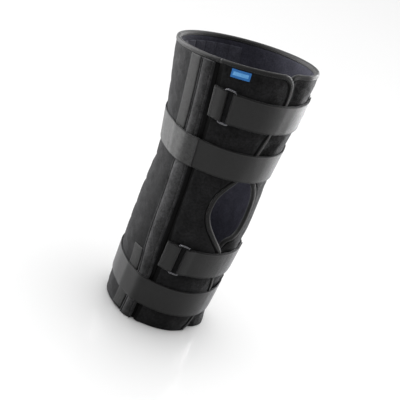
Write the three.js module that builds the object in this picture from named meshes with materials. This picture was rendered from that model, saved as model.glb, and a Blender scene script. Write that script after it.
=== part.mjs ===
// Knee immobilizer: a padded wrap in three panels that closes over the shin with four straps.
// It stands on its lower rim, front towards -Y, leg axis along +Z. Millimetres and degrees.
// A turn is the angle round the leg: 0 at the front, positive towards +X, 180 at the back.
import * as THREE from "three";

const DEG = Math.PI / 180;

// Tube
const LENGTH = 410; // side height, lower rim to upper rim
const TOP_RADIUS = 100.5; // outside radius at the upper rim
const RIM_SLOPE = 0.19; // rise of the upper rim towards the front, mm per mm
const WALL = 5; // padded laminate of the panels
const GAP = 0.3; // clearance between neighbouring pieces
const SEAT = 0.55; // clearance under what lies on a faceted round surface

// Panel edges
const BINDING_WIDTH = 6.5; // tape folded round the bound edges
const BINDING_PROUD = 0.6; // how far the tape stands off the panel, each side
const EDGE_ROUND = 1.4; // drop of the padded wall at its sewn side edges
const ROLL_HEIGHT = 1.8; // swell of the front panels along the side grooves
const ROLL_WIDTH = 14;
const LAP_LEVEL = 5; // how far past the lapping edge the under panel stays low
const LAP_RAMP = 10; // over which it comes back up to the common surface
const LAP_FOOT = 0.045; // share of LENGTH below which that low stretch keeps its turn
const FLAP_FLARE = 5; // swing of the right panel's loose foot, below the lowest strap
const FLAP_HEIGHT = 28;
const FLAP_TURNS = { from: 14, full: 26, fading: 44, to: 57 };

// Stay sleeves, fastening strips and back pockets
const SLEEVE_HEIGHT = 4.4;
const SLEEVE_EDGE = 1;
const STRIP_WIDTH = 17.5;
const STRIP_THICKNESS = 1.4;
const POCKET_COUNT = 6;
const POCKET_WIDTH = 20.5;
const POCKET_DEPTH = 2;
const POCKET_EDGE = 0.5;
const POCKET_HEAD = 7; // bare wall above the pockets
const POCKET_FOOT = 22; // and below them

// Straps and rings
const STRAP_WIDTH = 43.5;
const STRAP_THICKNESS = 1.5;
const STRAP_CLEARANCE = 0.6; // straps rest on the panels, over facets a few degrees wide
const RING_WIRE = 2.8; // diameter
const RING_REACH = 13.4; // between the two long bars, on centres
const RING_CLEARANCE = 1; // beyond the strap's edge, each end
const EYE_CLEARANCE = 0.3; // webbing round a ring bar

// Label
const LABEL_WIDTH = 26;
const LABEL_HEIGHT = 11.5;
const LABEL_THICKNESS = 0.8;
const LABEL_BELOW_BINDING = 1;

// Sections of the outside surface, from the lower rim up.
// up: share of LENGTH; radius: share of TOP_RADIUS; forward: axis shift to the front, same share.
const SECTIONS = [
  { up: 0, radius: 0.732, forward: 0.194 },
  { up: 0.2, radius: 0.765, forward: 0.198 },
  { up: 0.4, radius: 0.798, forward: 0.214 },
  { up: 0.6, radius: 0.795, forward: 0.2 },
  { up: 0.8, radius: 0.892, forward: 0.12 },
  { up: 1, radius: 1, forward: 0 },
];

// Front edge of the left panel, which laps over the right one and is scooped out at the kneecap.
const LEFT_EDGE = [
  { up: 1, turn: -8.5 },
  { up: 0.994, turn: -4 },
  { up: 0.98, turn: 0 },
  { up: 0.963, turn: 2.5 },
  { up: 0.924, turn: 4.5 },
  { up: 0.866, turn: 4.3 },
  { up: 0.795, turn: 2 },
  { up: 0.717, turn: -2 },
  { up: 0.654, turn: -5.5 },
  { up: 0.612, turn: -10.5 },
  { up: 0.576, turn: -18.5 },
  { up: 0.537, turn: -25 },
  { up: 0.478, turn: -26 },
  { up: 0.434, turn: -20 },
  { up: 0.388, turn: -8 },
  { up: 0.334, turn: 6.5 },
  { up: 0.27, turn: 12.8 },
  { up: 0.21, turn: 19 },
  { up: 0.178, turn: 22 },
  { up: 0.1, turn: 19.5 },
  { up: 0.045, turn: 14.5 },
  { up: 0.017, turn: 11 },
  { up: 0.006, turn: 8.5 },
  { up: 0, turn: 6.5 },
];

// Front edge of the right panel, which runs under the left one above and below the kneecap.
const RIGHT_EDGE = [
  { up: 1, turn: 8 },
  { up: 0.994, turn: 3.5 },
  { up: 0.98, turn: -1 },
  { up: 0.963, turn: -5 },
  { up: 0.9, turn: -11 },
  { up: 0.8, turn: -13 },
  { up: 0.717, turn: -12 },
  { up: 0.654, turn: -7 },
  { up: 0.62, turn: 1 },
  { up: 0.571, turn: 13.5 },
  { up: 0.529, turn: 19.5 },
  { up: 0.483, turn: 21 },
  { up: 0.424, turn: 18 },
  { up: 0.387, turn: 7.5 },
  { up: 0.355, turn: 4 },
  { up: 0.32, turn: -4.5 },
  { up: 0.27, turn: -11 },
  { up: 0.178, turn: -12 },
  { up: 0.1, turn: -8 },
  { up: 0.045, turn: -1 },
  { up: 0.017, turn: 4.5 },
  { up: 0.006, turn: 7.5 },
  { up: 0, turn: 9.5 },
];

// Side groove (rear edge of a front panel) and the two edges of the stay sleeve behind it,
// as turns from the front on either side.
const SIDE_LINES = [
  { up: 0, groove: 58, near: 60.5, far: 76 },
  { up: 0.07, groove: 57, near: 60, far: 74.5 },
  { up: 0.19, groove: 54.5, near: 58, far: 73.5 },
  { up: 0.3, groove: 56, near: 61, far: 77.5 },
  { up: 0.46, groove: 58.5, near: 62.5, far: 80.5 },
  { up: 0.6, groove: 60.5, near: 65, far: 83 },
  { up: 0.73, groove: 60.5, near: 65.5, far: 79 },
  { up: 1, groove: 61.5, near: 64.5, far: 76.5 },
];

// Fastening strips behind each sleeve. from, to: shares of LENGTH.
const STRIPS = [
  { name: "upper", from: 0.64, to: 0.983 },
  { name: "lower", from: 0.012, to: 0.263 },
];

// Straps. top: upper edge at the leg axis, share of LENGTH; slope: drop towards the back.
const STRAPS = {
  strap_1: { top: 0.935, slope: 0.015, ringTurn: -46 },
  strap_2: { top: 0.736, slope: 0.041, side: 1 },
  strap_3: { top: 0.356, slope: -0.012, ringTurn: -37.5 },
  strap_4: { top: 0.191, slope: -0.06, side: -1 },
};
const TAB_START = 1.5; // degrees in front of the side groove
const STRAP_ROOT = 58; // where a ring strap is sewn, on the right
const STRAP_END = 50; // where its folded end stops
const LAP_FRONT = 61; // front end of the outer layer of a lapped strap
const LAP_BACK = 85; // end of the layer under it
const LAP_STEP = 8; // turn over which the outer layer comes down
const LAP_SEAM = 150; // where both layers meet at the back
const LABEL_TURN = -43.5;

// Fineness of the faceted surfaces
const TURN_STEP = 6;
const ROW_STEP = 15;
const HULL_STEP = 1.5;
const PATH_STEP = 8; // along a bound border

const clamp = (value, low, high) => Math.min(high, Math.max(low, value));
const mix = (a, b, share) => a + (b - a) * share;
const ease = (share) => {
  const s = clamp(share, 0, 1);
  return s * s * (3 - 2 * s);
};
const steps = (from, to, size) => {
  const count = Math.max(1, Math.round(Math.abs(to - from) / size));
  return Array.from({ length: count + 1 }, (_, i) => mix(from, to, i / count));
};

// Smooth reading of one column of a table whose rows are ordered by up, either way.
function read(table, column, up) {
  const rows = table[0].up < table[table.length - 1].up ? table : [...table].reverse();
  const last = rows.length - 1;
  const at = clamp(up, rows[0].up, rows[last].up);
  let i = 0;
  while (i < last - 1 && rows[i + 1].up < at) i += 1;
  const span = rows[i + 1].up - rows[i].up;
  const tangent = (k) => {
    const a = rows[Math.max(k - 1, 0)];
    const b = rows[Math.min(k + 1, last)];
    return ((b[column] - a[column]) / (b.up - a.up)) * span;
  };
  const s = (at - rows[i].up) / span;
  const s2 = s * s;
  const s3 = s2 * s;
  return (
    (2 * s3 - 3 * s2 + 1) * rows[i][column] +
    (s3 - 2 * s2 + s) * tangent(i) +
    (3 * s2 - 2 * s3) * rows[i + 1][column] +
    (s3 - s2) * tangent(i + 1)
  );
}

const radiusAt = (height) => TOP_RADIUS * read(SECTIONS, "radius", height / LENGTH);
const axisAt = (height) => -TOP_RADIUS * read(SECTIONS, "forward", height / LENGTH);
const slopeAt = (height) => (RIM_SLOPE * height) / LENGTH;
const sideLine = (column, height) => read(SIDE_LINES, column, height / LENGTH);
const toTurn = (length, height) => length / (radiusAt(height) * DEG);

// Point of the tube: a turn, a side height and a distance outwards from the common surface.
function onTube(turn, height, out) {
  const radius = radiusAt(height) + out;
  const y = axisAt(height) - radius * Math.cos(turn * DEG);
  return new THREE.Vector3(radius * Math.sin(turn * DEG), y, height - slopeAt(height) * y);
}

// Closed geometry from points and faces, turned so that its faces point outwards.
function closed(points, faces) {
  let volume = 0;
  for (const [a, b, c] of faces) {
    volume += points[a].dot(new THREE.Vector3().crossVectors(points[b], points[c]));
  }
  const index = faces.flatMap(([a, b, c]) => (volume < 0 ? [a, c, b] : [a, b, c]));
  const geometry = new THREE.BufferGeometry();
  geometry.setAttribute("position", new THREE.Float32BufferAttribute(points.flatMap((p) => p.toArray()), 3));
  geometry.setIndex(index);
  geometry.computeVertexNormals();
  return geometry;
}

// Solid from rings of points: every ring has the same count, and both ends are capped by fans
// between the first and second half of the ring, or joined when the rings close on themselves.
function loft(rings, isLoop = false) {
  const count = rings[0].length;
  const points = rings.flat();
  const faces = [];
  const bands = isLoop ? rings.length : rings.length - 1;
  for (let r = 0; r < bands; r += 1) {
    const here = r * count;
    const next = ((r + 1) % rings.length) * count;
    for (let i = 0; i < count; i += 1) {
      const j = (i + 1) % count;
      faces.push([here + i, here + j, next + j], [here + i, next + j, next + i]);
    }
  }
  if (!isLoop) {
    const end = (rings.length - 1) * count;
    for (let i = 1; i < count - 1; i += 1) {
      const k = count - i;
      if (i < k - 1) {
        faces.push([i, i - 1, k % count], [end + i, end + (k % count), end + i - 1]);
        faces.push([i, k % count, k - 1], [end + i, end + k - 1, end + (k % count)]);
      } else if (i === k - 1) {
        faces.push([i, i - 1, k % count], [end + i, end + (k % count), end + i - 1]);
      }
    }
  }
  return closed(points, faces);
}

// Padded sheet on the tube. rows: { height, from, to } with turns; columns: shares or a function
// of the row; outer and inner give the distance outwards at a turn, a height and the distance
// in millimetres from the first edge.
function sheet(rows, columnsOf, outer, inner) {
  const rings = rows.map((row) => {
    const turns = columnsOf(row).map((share) => mix(row.from, row.to, share));
    const along = (turn) => Math.abs(turn - row.from) / toTurn(1, row.height);
    const front = turns.map((t) => onTube(t, row.height, outer(t, row.height, along(t))));
    const back = turns.map((t) => onTube(t, row.height, inner(t, row.height, along(t))));
    return [...front, ...back.reverse()];
  });
  return loft(rings);
}

const edgeColumns = (near, count) => (row) => {
  const width = Math.abs(row.to - row.from) / toTurn(1, row.height);
  const margins = near.map((length) => length / width);
  const last = margins[margins.length - 1];
  return [...margins, ...Array.from({ length: count }, (_, i) => mix(last, 1, (i + 1) / count))];
};

// How far a side edge of a padded wall drops, at a distance from that edge.
const edgeDrop = (along) => EDGE_ROUND * (1 - ease(along / (2 * EDGE_ROUND)));
const roll = (along) => ROLL_HEIGHT * Math.sin(Math.PI * clamp(along / ROLL_WIDTH, 0, 1)) ** 2;

// The right panel runs one wall lower where the left one laps over it.
const LAP_DROP = WALL + 2 * BINDING_PROUD + GAP;
const lapTop = LEFT_EDGE.find((row) => row.turn > 4.4).up;
function lapDip(turn, height) {
  const up = clamp(height / LENGTH, LAP_FOOT, lapTop);
  const past = (turn - read(LEFT_EDGE, "turn", up)) / toTurn(1, height);
  return flapFlare(turn, height) - LAP_DROP * (1 - ease((past - LAP_LEVEL) / LAP_RAMP));
}
function flapFlare(turn, height) {
  const { from, full, fading, to } = FLAP_TURNS;
  const across = ease((turn - from) / (full - from)) * (1 - ease((turn - fading) / (to - fading)));
  return FLAP_FLARE * across * (1 - ease(height / FLAP_HEIGHT));
}
const level = (side) => (side < 0 ? () => 0 : lapDip);

// Path of a front panel's bound border, from the side groove along the rim and down the edge.
// side -1 is the left panel (at negative turns), side 1 the right one.
function borderPath(edge, side) {
  const rear = side * (sideLine("groove", LENGTH) - toTurn(GAP / 2, LENGTH));
  const rim = steps(rear, edge[0].turn, TURN_STEP).map((turn) => ({ turn, height: LENGTH }));
  const down = edge.slice(1).flatMap((row, i) => {
    const from = edge[i].up * LENGTH;
    const to = row.up * LENGTH;
    const across = (row.turn - edge[i].turn) / toTurn(1, to);
    const share = Math.abs(to - from) / Math.hypot(to - from, across);
    return steps(from, to, Math.max(PATH_STEP, ROW_STEP * share) * share)
      .slice(1)
      .map((height) => ({ turn: read(edge, "turn", height / LENGTH), height }));
  });
  return { points: [...rim, ...down], corner: rim.length - 1 };
}

// Directions along and across a path, in millimetres on the tube. Across points off the panel.
function frameAt(points, i, side) {
  const a = points[Math.max(i - 1, 0)];
  const b = points[Math.min(i + 1, points.length - 1)];
  const s = (b.turn - a.turn) / toTurn(1, points[i].height);
  const h = b.height - a.height;
  const length = Math.hypot(s, h);
  const along = { s: s / length, h: h / length };
  return { along, across: { s: side * along.h, h: -side * along.s } };
}

function moved(point, direction, distance) {
  const height = point.height + direction.h * distance;
  return { turn: point.turn + toTurn(direction.s * distance, point.height), height };
}

// Binding tape: a rounded section, BINDING_WIDTH wide, that ends on the path.
function binding(points, side, levelAt) {
  const outside = BINDING_PROUD;
  const inside = -WALL - BINDING_PROUD;
  const nose = (outside - inside) / 4;
  const section = [
    [-BINDING_WIDTH, outside],
    [-nose, outside],
    [0, outside - nose],
    [0, inside + nose],
    [-nose, inside],
    [-BINDING_WIDTH, inside],
  ];
  const rings = points.map((point, i) => {
    const { across } = frameAt(points, i, side);
    const base = levelAt(point.turn, point.height);
    return section.map(([reach, out]) => {
      const p = moved(point, across, reach);
      return onTube(p.turn, Math.max(p.height, 0), base + out);
    });
  });
  return loft(rings);
}

// Front panel: rows run from the side groove to the inner side of the bound border.
function frontPanel(edge, side) {
  const { points, corner } = borderPath(edge, side);
  const reach = BINDING_WIDTH + GAP;
  const last = points.length - 1;
  const ends = points.slice(corner).map((point, k) => {
    const { across } = frameAt(points, corner + k, side);
    return moved(point, across, -reach);
  });
  const foot = frameAt(points, last, side).along;
  ends[0].height = LENGTH - reach;
  ends[ends.length - 1] = moved(ends[ends.length - 1], foot, GAP);
  ends.push({ turn: moved(points[last], foot, 2 * GAP).turn, height: 0 });
  const rows = ends
    .filter((end, k) => k === 0 || end.height < ends[k - 1].height - GAP)
    .map(({ turn, height }) => {
      const rear = sideLine("groove", height) - toTurn(GAP / 2, height);
      return { height, from: side * rear, to: turn };
    });
  const levelAt = level(side);
  return sheet(
    rows,
    edgeColumns([0, 2 * EDGE_ROUND, ROLL_WIDTH / 2, ROLL_WIDTH], 7),
    (turn, height, along) => levelAt(turn, height) + roll(along) - edgeDrop(along),
    (turn, height, along) => levelAt(turn, height) - WALL + edgeDrop(along) / 2,
  );
}

// Back panel: round the back from the right groove to the left one. What is sewn to it takes
// the same rows, so that it follows the panel's facets.
const BACK_TOP = LENGTH - BINDING_WIDTH - GAP;
const backHeights = steps(BACK_TOP, 0, 2 * ROW_STEP);
const backEdge = (height) => sideLine("groove", height) + toTurn(GAP / 2, height);
const heightsBetween = (top, bottom) => {
  const between = backHeights.filter((h) => h < top - SEAT && h > bottom + SEAT);
  return [top, ...between, bottom];
};

function backPanel() {
  const rows = backHeights.map((height) => ({
    height,
    from: backEdge(height),
    to: 360 - backEdge(height),
  }));
  const columns = (row) => {
    const margin = (2 * EDGE_ROUND * toTurn(1, row.height)) / (row.to - row.from);
    const inner = steps(margin, 1 - margin, TURN_STEP / (360 - 2 * backEdge(LENGTH)));
    return [0, margin / 2, ...inner, 1 - margin / 2, 1];
  };
  const near = (turn, height) => {
    const edge = backEdge(height);
    return Math.max(Math.min(turn - edge, 360 - edge - turn), 0) / toTurn(1, height);
  };
  return sheet(
    rows,
    columns,
    (turn, height) => -edgeDrop(near(turn, height)),
    (turn, height) => -WALL + edgeDrop(near(turn, height)) / 2,
  );
}

function backBinding() {
  const edge = backEdge(LENGTH);
  const points = steps(edge, 360 - edge, TURN_STEP).map((turn) => ({ turn, height: LENGTH }));
  return binding(points, -1, () => 0);
}

// Stay sleeve: a raised pillow along the side, just behind the groove.
const sleeveOut = (share) => {
  const rise = Math.sin(Math.PI * clamp(share, 0, 1)) ** 0.6;
  return SEAT + SLEEVE_EDGE + (SLEEVE_HEIGHT - SLEEVE_EDGE) * rise;
};

function staySleeve(side) {
  const rows = backHeights.map((height) => ({
    height,
    from: side * sideLine("near", height),
    to: side * sideLine("far", height),
  }));
  const shares = [0, 0.1, 0.25, 0.5, 0.75, 0.9, 1];
  const share = (turn, height) => {
    const near = sideLine("near", height);
    return (Math.abs(turn) - near) / (sideLine("far", height) - near);
  };
  return sheet(
    rows,
    () => shares,
    (turn, height) => sleeveOut(share(turn, height)),
    () => SEAT,
  );
}

const stripEdge = (height) => sideLine("far", height) + toTurn(4 * GAP, height);

function fasteningStrip({ from, to }, side) {
  const top = Math.min(to * LENGTH, BACK_TOP);
  const rows = heightsBetween(top, from * LENGTH).map((height) => ({
    height,
    from: side * stripEdge(height),
    to: side * (stripEdge(height) + toTurn(STRIP_WIDTH, height)),
  }));
  return sheet(
    rows,
    () => [0, 0.5, 1],
    () => SEAT + STRIP_THICKNESS,
    () => SEAT,
  );
}

// Back stay pocket: a low channel on the inside of the back panel.
function backPocket(number) {
  const place = number - (POCKET_COUNT - 1) / 2;
  const rows = heightsBetween(BACK_TOP - POCKET_HEAD, POCKET_FOOT).map((height) => {
    const middle = 180 + toTurn(place * (POCKET_WIDTH + GAP), height);
    const half = toTurn(POCKET_WIDTH / 2, height);
    return { height, from: middle - half, to: middle + half };
  });
  const columns = [0, 0.5, 1];
  const bulge = (along) => Math.sin((Math.PI * clamp(along, 0, POCKET_WIDTH)) / POCKET_WIDTH) ** 0.5;
  return sheet(
    rows,
    () => columns,
    () => -WALL - SEAT,
    (turn, height, along) => -WALL - SEAT - POCKET_EDGE - (POCKET_DEPTH - POCKET_EDGE) * bulge(along),
  );
}

// Outermost surface under a strap, as a distance outwards from the common surface.
function skin(turn, height, withSleeves) {
  const t = turn > 180 ? turn - 360 : turn;
  const groove = sideLine("groove", height);
  const aside = (Math.abs(t) - groove) / toTurn(1, height);
  if (aside > 0) {
    const near = sideLine("near", height);
    const share = (Math.abs(t) - near) / (sideLine("far", height) - near);
    if (!withSleeves) return 0;
    if (share >= 0 && share <= 1) return sleeveOut(share);
    const strip = (Math.abs(t) - stripEdge(height)) / toTurn(STRIP_WIDTH, height);
    return strip >= 0 && strip <= 1 ? SEAT + STRIP_THICKNESS : 0;
  }
  const edge = read(LEFT_EDGE, "turn", height / LENGTH);
  if (t <= edge) return Math.max(roll(-aside), BINDING_PROUD);
  return Math.max(roll(-aside), 0) + lapDip(t, height) + BINDING_PROUD;
}

// Side height of the surface point that lies in the plane z = level - slope * y.
function heightInPlane(turn, planeLevel, slope, out) {
  let height = planeLevel;
  for (let i = 0; i < 6; i += 1) {
    const y = onTube(turn, clamp(height, 0, LENGTH), out).y;
    height = planeLevel + (slopeAt(height) - slope) * y;
  }
  return clamp(height, 0, LENGTH);
}

// Taut line of a strap's edge: the convex outline of what lies under it, in its own plane.
function tautLine(planeLevel, slope, withSleeves) {
  const around = steps(0, 360, HULL_STEP).slice(0, -1);
  const points = around.map((turn) => {
    const height = heightInPlane(turn, planeLevel, slope, 0);
    return onTube(turn, height, skin(turn, height, withSleeves));
  });
  const sorted = [...points].sort((a, b) => a.x - b.x || a.y - b.y);
  const half = (list) => {
    const chain = [];
    for (const p of list) {
      while (chain.length > 1) {
        const [a, b] = chain.slice(-2);
        if ((b.x - a.x) * (p.y - a.y) - (b.y - a.y) * (p.x - a.x) > 0) break;
        chain.pop();
      }
      chain.push(p);
    }
    return chain.slice(0, -1);
  };
  const hull = [...half(sorted), ...half(sorted.reverse())];
  const centre = axisAt(planeLevel);
  const radius = (turn) => {
    const dx = Math.sin(turn * DEG);
    const dy = -Math.cos(turn * DEG);
    let reach = 0;
    hull.forEach((a, i) => {
      const b = hull[(i + 1) % hull.length];
      const ex = b.x - a.x;
      const ey = b.y - a.y;
      const cross = dx * ey - dy * ex;
      const distance = (a.x * ey - (a.y - centre) * ex) / cross;
      const share = (a.x * dy - (a.y - centre) * dx) / cross;
      if (distance > 0 && share > -1e-9 && share < 1 + 1e-9) reach = Math.max(reach, distance);
    });
    return reach;
  };
  return { planeLevel, slope, centre, radius };
}

// A strap's band: straight across its width between the taut lines of its two edges.
function bandOf({ top, slope, ringTurn }) {
  const withSleeves = ringTurn === undefined;
  const line = (share) =>
    tautLine(top * LENGTH - STRAP_WIDTH * (1 - share), slope, withSleeves);
  const low = line(0);
  const middle = line(0.5);
  const high = line(1);
  const memo = new Map();
  const radii = (turn) => {
    if (!memo.has(turn)) {
      const a = low.radius(turn);
      const b = high.radius(turn);
      const rise = Math.max(0, middle.radius(turn) - (a + b) / 2);
      memo.set(turn, [a + rise, b + rise]);
    }
    return memo.get(turn);
  };
  return {
    toTurn: (length) => length / (middle.radius(ringTurn ?? 0) * DEG),
    point(turn, across, out) {
      const share = across / STRAP_WIDTH;
      const [a, b] = radii(turn);
      const radius = mix(a, b, share) + STRAP_CLEARANCE + out;
      const y = mix(low.centre, high.centre, share) - radius * Math.cos(turn * DEG);
      const z = mix(low.planeLevel, high.planeLevel, share) - slope * y;
      return new THREE.Vector3(radius * Math.sin(turn * DEG), y, z);
    },
  };
}

// Plain layer of webbing between two turns.
function layer(band, from, to, liftAt) {
  const rings = steps(from, to, TURN_STEP).map((turn) => {
    const lift = liftAt(turn);
    return [
      band.point(turn, 0, lift),
      band.point(turn, 0, lift + STRAP_THICKNESS),
      band.point(turn, STRAP_WIDTH, lift + STRAP_THICKNESS),
      band.point(turn, STRAP_WIDTH, lift),
    ];
  });
  return loft(rings);
}

// Webbing folded round a ring bar: one ribbon that runs in along the body, round the bar and
// back over itself. direction points from the ribbon's ends to the bar.
const EYE = RING_WIRE / 2 + EYE_CLEARANCE;
const BAR_OUT = EYE + STRAP_THICKNESS;

function foldedWebbing(band, barTurn, direction, outerEnd, innerEnd) {
  const degrees = (length) => direction * band.toTurn(length);
  const half = STRAP_THICKNESS / 2;
  const over = STRAP_THICKNESS + GAP + half;
  const bend = EYE + half;
  const settle = barTurn - degrees(5 * bend);
  const step = Math.min(TURN_STEP, Math.abs(barTurn - innerEnd) / 6);
  const path = steps(innerEnd, barTurn, step).map((turn) => [turn, half]);
  for (const a of [-60, -30, 0, 30, 60, 90]) {
    const reach = degrees(bend * Math.cos(a * DEG));
    path.push([barTurn + reach, BAR_OUT + bend * Math.sin(a * DEG)]);
  }
  path.push([mix(barTurn, settle, 0.5), mix(BAR_OUT + bend, over, 0.6)]);
  path.push(...steps(settle, outerEnd, step).map((turn) => [turn, over]));
  const rings = path.map(([turn, out], i) => {
    const a = path[Math.max(i - 1, 0)];
    const b = path[Math.min(i + 1, path.length - 1)];
    const run = (b[0] - a[0]) / band.toTurn(1);
    const rise = b[1] - a[1];
    const length = Math.hypot(run, rise);
    const side = band.toTurn((-rise / length) * half);
    const lift = (run / length) * half;
    return [
      band.point(turn - side, 0, out - lift),
      band.point(turn + side, 0, out + lift),
      band.point(turn + side, STRAP_WIDTH, out + lift),
      band.point(turn - side, STRAP_WIDTH, out - lift),
    ];
  });
  return loft(rings);
}

// Wire ring: a rounded rectangle round the tab's eye and the strap's eye.
function wireRing(band, centreTurn) {
  const half = RING_REACH / 2;
  const bend = RING_WIRE;
  const low = -RING_CLEARANCE - RING_WIRE / 2;
  const high = STRAP_WIDTH + RING_CLEARANCE + RING_WIRE / 2;
  const path = [];
  const corners = [
    { s: half, h: high, start: 0 },
    { s: -half, h: high, start: 90 },
    { s: -half, h: low, start: 180 },
    { s: half, h: low, start: 270 },
  ];
  for (const { s, h, start } of corners) {
    const cs = s - Math.sign(s) * bend;
    const ch = h === high ? high - bend : low + bend;
    for (const a of [0, 45, 90]) {
      const n = { s: Math.cos((start + a) * DEG), h: Math.sin((start + a) * DEG) };
      path.push({ s: cs + bend * n.s, h: ch + bend * n.h, n });
    }
  }
  const rings = path.map(({ s, h, n }) =>
    Array.from({ length: 8 }, (_, i) => {
      const a = (i * Math.PI) / 4;
      const r = (RING_WIRE / 2) * Math.cos(a);
      const turn = centreTurn + band.toTurn(s + n.s * r);
      return band.point(turn, h + n.h * r, BAR_OUT + (RING_WIRE / 2) * Math.sin(a));
    }),
  );
  return loft(rings, true);
}

function label() {
  const top = LENGTH - BINDING_WIDTH - LABEL_BELOW_BINDING;
  const half = toTurn(LABEL_WIDTH / 2, top);
  const rows = [top, top - LABEL_HEIGHT].map((height) => ({
    height,
    from: LABEL_TURN - half,
    to: LABEL_TURN + half,
  }));
  return sheet(
    rows,
    () => [0, 0.25, 0.5, 0.75, 1],
    () => SEAT + LABEL_THICKNESS,
    () => SEAT,
  );
}

// Finishes
const cloth = (name, color, roughness) => {
  const material = new THREE.MeshStandardMaterial({ color, roughness, metalness: 0 });
  material.name = name;
  return material;
};
const FINISHES = {
  panel: cloth("black brushed loop fabric", 0x222223, 0.95),
  tape: cloth("charcoal binding tape", 0x3a3a3b, 0.85),
  webbing: cloth("charcoal strap webbing", 0x363636, 0.8),
  light: cloth("grey hook strip", 0x5c5c5c, 0.85),
  lining: cloth("soft blue-black lining", 0x2e2e34, 0.95),
  tag: cloth("blue woven tag", 0x4a93d6, 0.7),
};
FINISHES.wire = new THREE.MeshStandardMaterial({ color: 0x8c8c8c, roughness: 0.3, metalness: 1 });
FINISHES.wire.name = "plated steel wire";

const immobilizer = new THREE.Group();
function add(name, geometry, material) {
  const mesh = new THREE.Mesh(geometry, material);
  mesh.name = name;
  immobilizer.add(mesh);
}

add("back_panel", backPanel(), FINISHES.panel);
add("left_front_panel", frontPanel(LEFT_EDGE, -1), FINISHES.panel);
add("right_front_panel", frontPanel(RIGHT_EDGE, 1), FINISHES.panel);
add("back_binding", backBinding(), FINISHES.tape);
add("left_binding", binding(borderPath(LEFT_EDGE, -1).points, -1, level(-1)), FINISHES.tape);
add("right_binding", binding(borderPath(RIGHT_EDGE, 1).points, 1, level(1)), FINISHES.tape);
for (const [word, side] of [["left", -1], ["right", 1]]) {
  add(word + "_stay_sleeve", staySleeve(side), FINISHES.panel);
  for (const strip of STRIPS) {
    add(word + "_" + strip.name + "_strip", fasteningStrip(strip, side), FINISHES.light);
  }
}
for (let i = 0; i < POCKET_COUNT; i += 1) {
  add("back_pocket_" + (i + 1), backPocket(i), FINISHES.lining);
}
for (const [name, strap] of Object.entries(STRAPS)) {
  const band = bandOf(strap);
  const number = name.slice(-1);
  if (strap.ringTurn !== undefined) {
    const half = band.toTurn(RING_REACH / 2);
    const strapBar = strap.ringTurn + half;
    const tabBar = strap.ringTurn - half;
    const root = -sideLine("groove", (strap.top * LENGTH) - STRAP_WIDTH / 2) + TAB_START;
    add(name, foldedWebbing(band, strapBar, -1, STRAP_END, STRAP_ROOT), FINISHES.webbing);
    add("tab_" + number, foldedWebbing(band, tabBar, 1, root, root), FINISHES.webbing);
    add("ring_" + number, wireRing(band, strap.ringTurn), FINISHES.wire);
  } else {
    const side = strap.side;
    const over = STRAP_THICKNESS + GAP;
    const lift = (turn) => over * (1 - ease((Math.abs(turn) - LAP_BACK - 1) / LAP_STEP));
    const seam = LAP_SEAM - toTurn(GAP, strap.top * LENGTH);
    add(name, layer(band, -side * LAP_BACK, side * (360 - LAP_SEAM), () => 0), FINISHES.webbing);
    add(name + "_end", layer(band, -side * LAP_FRONT, -side * seam, lift), FINISHES.light);
  }
}
add("label", label(), FINISHES.tag);

// The origin is under the middle of the object's box, on the surface that it stands on.
const box = new THREE.Box3().setFromObject(immobilizer);
const middle = box.getCenter(new THREE.Vector3());
immobilizer.position.set(-middle.x, -middle.y, -box.min.z);

export default immobilizer;
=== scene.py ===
# Knee immobilizer: a padded black wrap in three panels, closed over the shin by four straps.
# A turn is the angle round the leg in degrees: 0 at the front (-Y), positive towards +X.
# A height is measured along the side of the tube, from the lower rim.
import math
import bpy
import numpy as np
from mathutils import Matrix, Vector


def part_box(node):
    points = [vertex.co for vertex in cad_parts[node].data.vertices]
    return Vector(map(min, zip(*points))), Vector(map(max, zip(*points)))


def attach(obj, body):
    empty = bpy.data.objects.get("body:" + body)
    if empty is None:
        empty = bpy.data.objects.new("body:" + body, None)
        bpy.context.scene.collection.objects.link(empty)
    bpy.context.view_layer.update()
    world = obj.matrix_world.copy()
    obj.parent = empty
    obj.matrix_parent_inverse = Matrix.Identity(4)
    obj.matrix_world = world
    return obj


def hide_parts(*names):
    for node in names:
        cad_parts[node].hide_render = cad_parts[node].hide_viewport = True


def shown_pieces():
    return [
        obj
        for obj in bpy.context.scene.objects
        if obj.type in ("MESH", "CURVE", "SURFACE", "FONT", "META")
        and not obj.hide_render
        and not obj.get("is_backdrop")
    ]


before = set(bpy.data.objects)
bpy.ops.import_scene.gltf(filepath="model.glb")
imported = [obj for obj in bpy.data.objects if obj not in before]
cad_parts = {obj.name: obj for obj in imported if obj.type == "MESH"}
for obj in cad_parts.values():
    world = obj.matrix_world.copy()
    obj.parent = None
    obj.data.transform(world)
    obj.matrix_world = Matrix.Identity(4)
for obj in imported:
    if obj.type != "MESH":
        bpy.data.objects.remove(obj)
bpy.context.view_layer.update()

MM = 0.001

# Tube, as in the frame
LENGTH = 410 * MM
TOP_RADIUS = 100.5 * MM
RIM_SLOPE = 0.19
WALL = 5 * MM
GAP = 0.3 * MM
SEAT = 0.55 * MM
BINDING_WIDTH = 6.5 * MM
BINDING_PROUD = 0.6 * MM
GROOVE_DEPTH = 1.6 * MM
PIPING_HEIGHT = 0.8 * MM
PIPING_WIDTH = 0.75 * MM
ROLL_HEIGHT = 1.8 * MM
ROLL_WIDTH = 14 * MM
LAP_LEVEL = 5 * MM
LAP_RAMP = 10 * MM
LAP_SPREAD = 30 * MM
SLEEVE_HEIGHT = 4.4 * MM
SLEEVE_EDGE = 1 * MM
STRIP_WIDTH = 17.5 * MM
STRIP_THICKNESS = 1.4 * MM
POCKET_COUNT = 6
POCKET_WIDTH = 20.5 * MM
POCKET_DEPTH = 2 * MM
POCKET_HEAD = 7 * MM
POCKET_FOOT = 22 * MM
STRAP_WIDTH = 43.5 * MM
STRAP_THICKNESS = 1.5 * MM
STRAP_CLEARANCE = 0.6 * MM
RING_WIRE = 2.8 * MM
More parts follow.
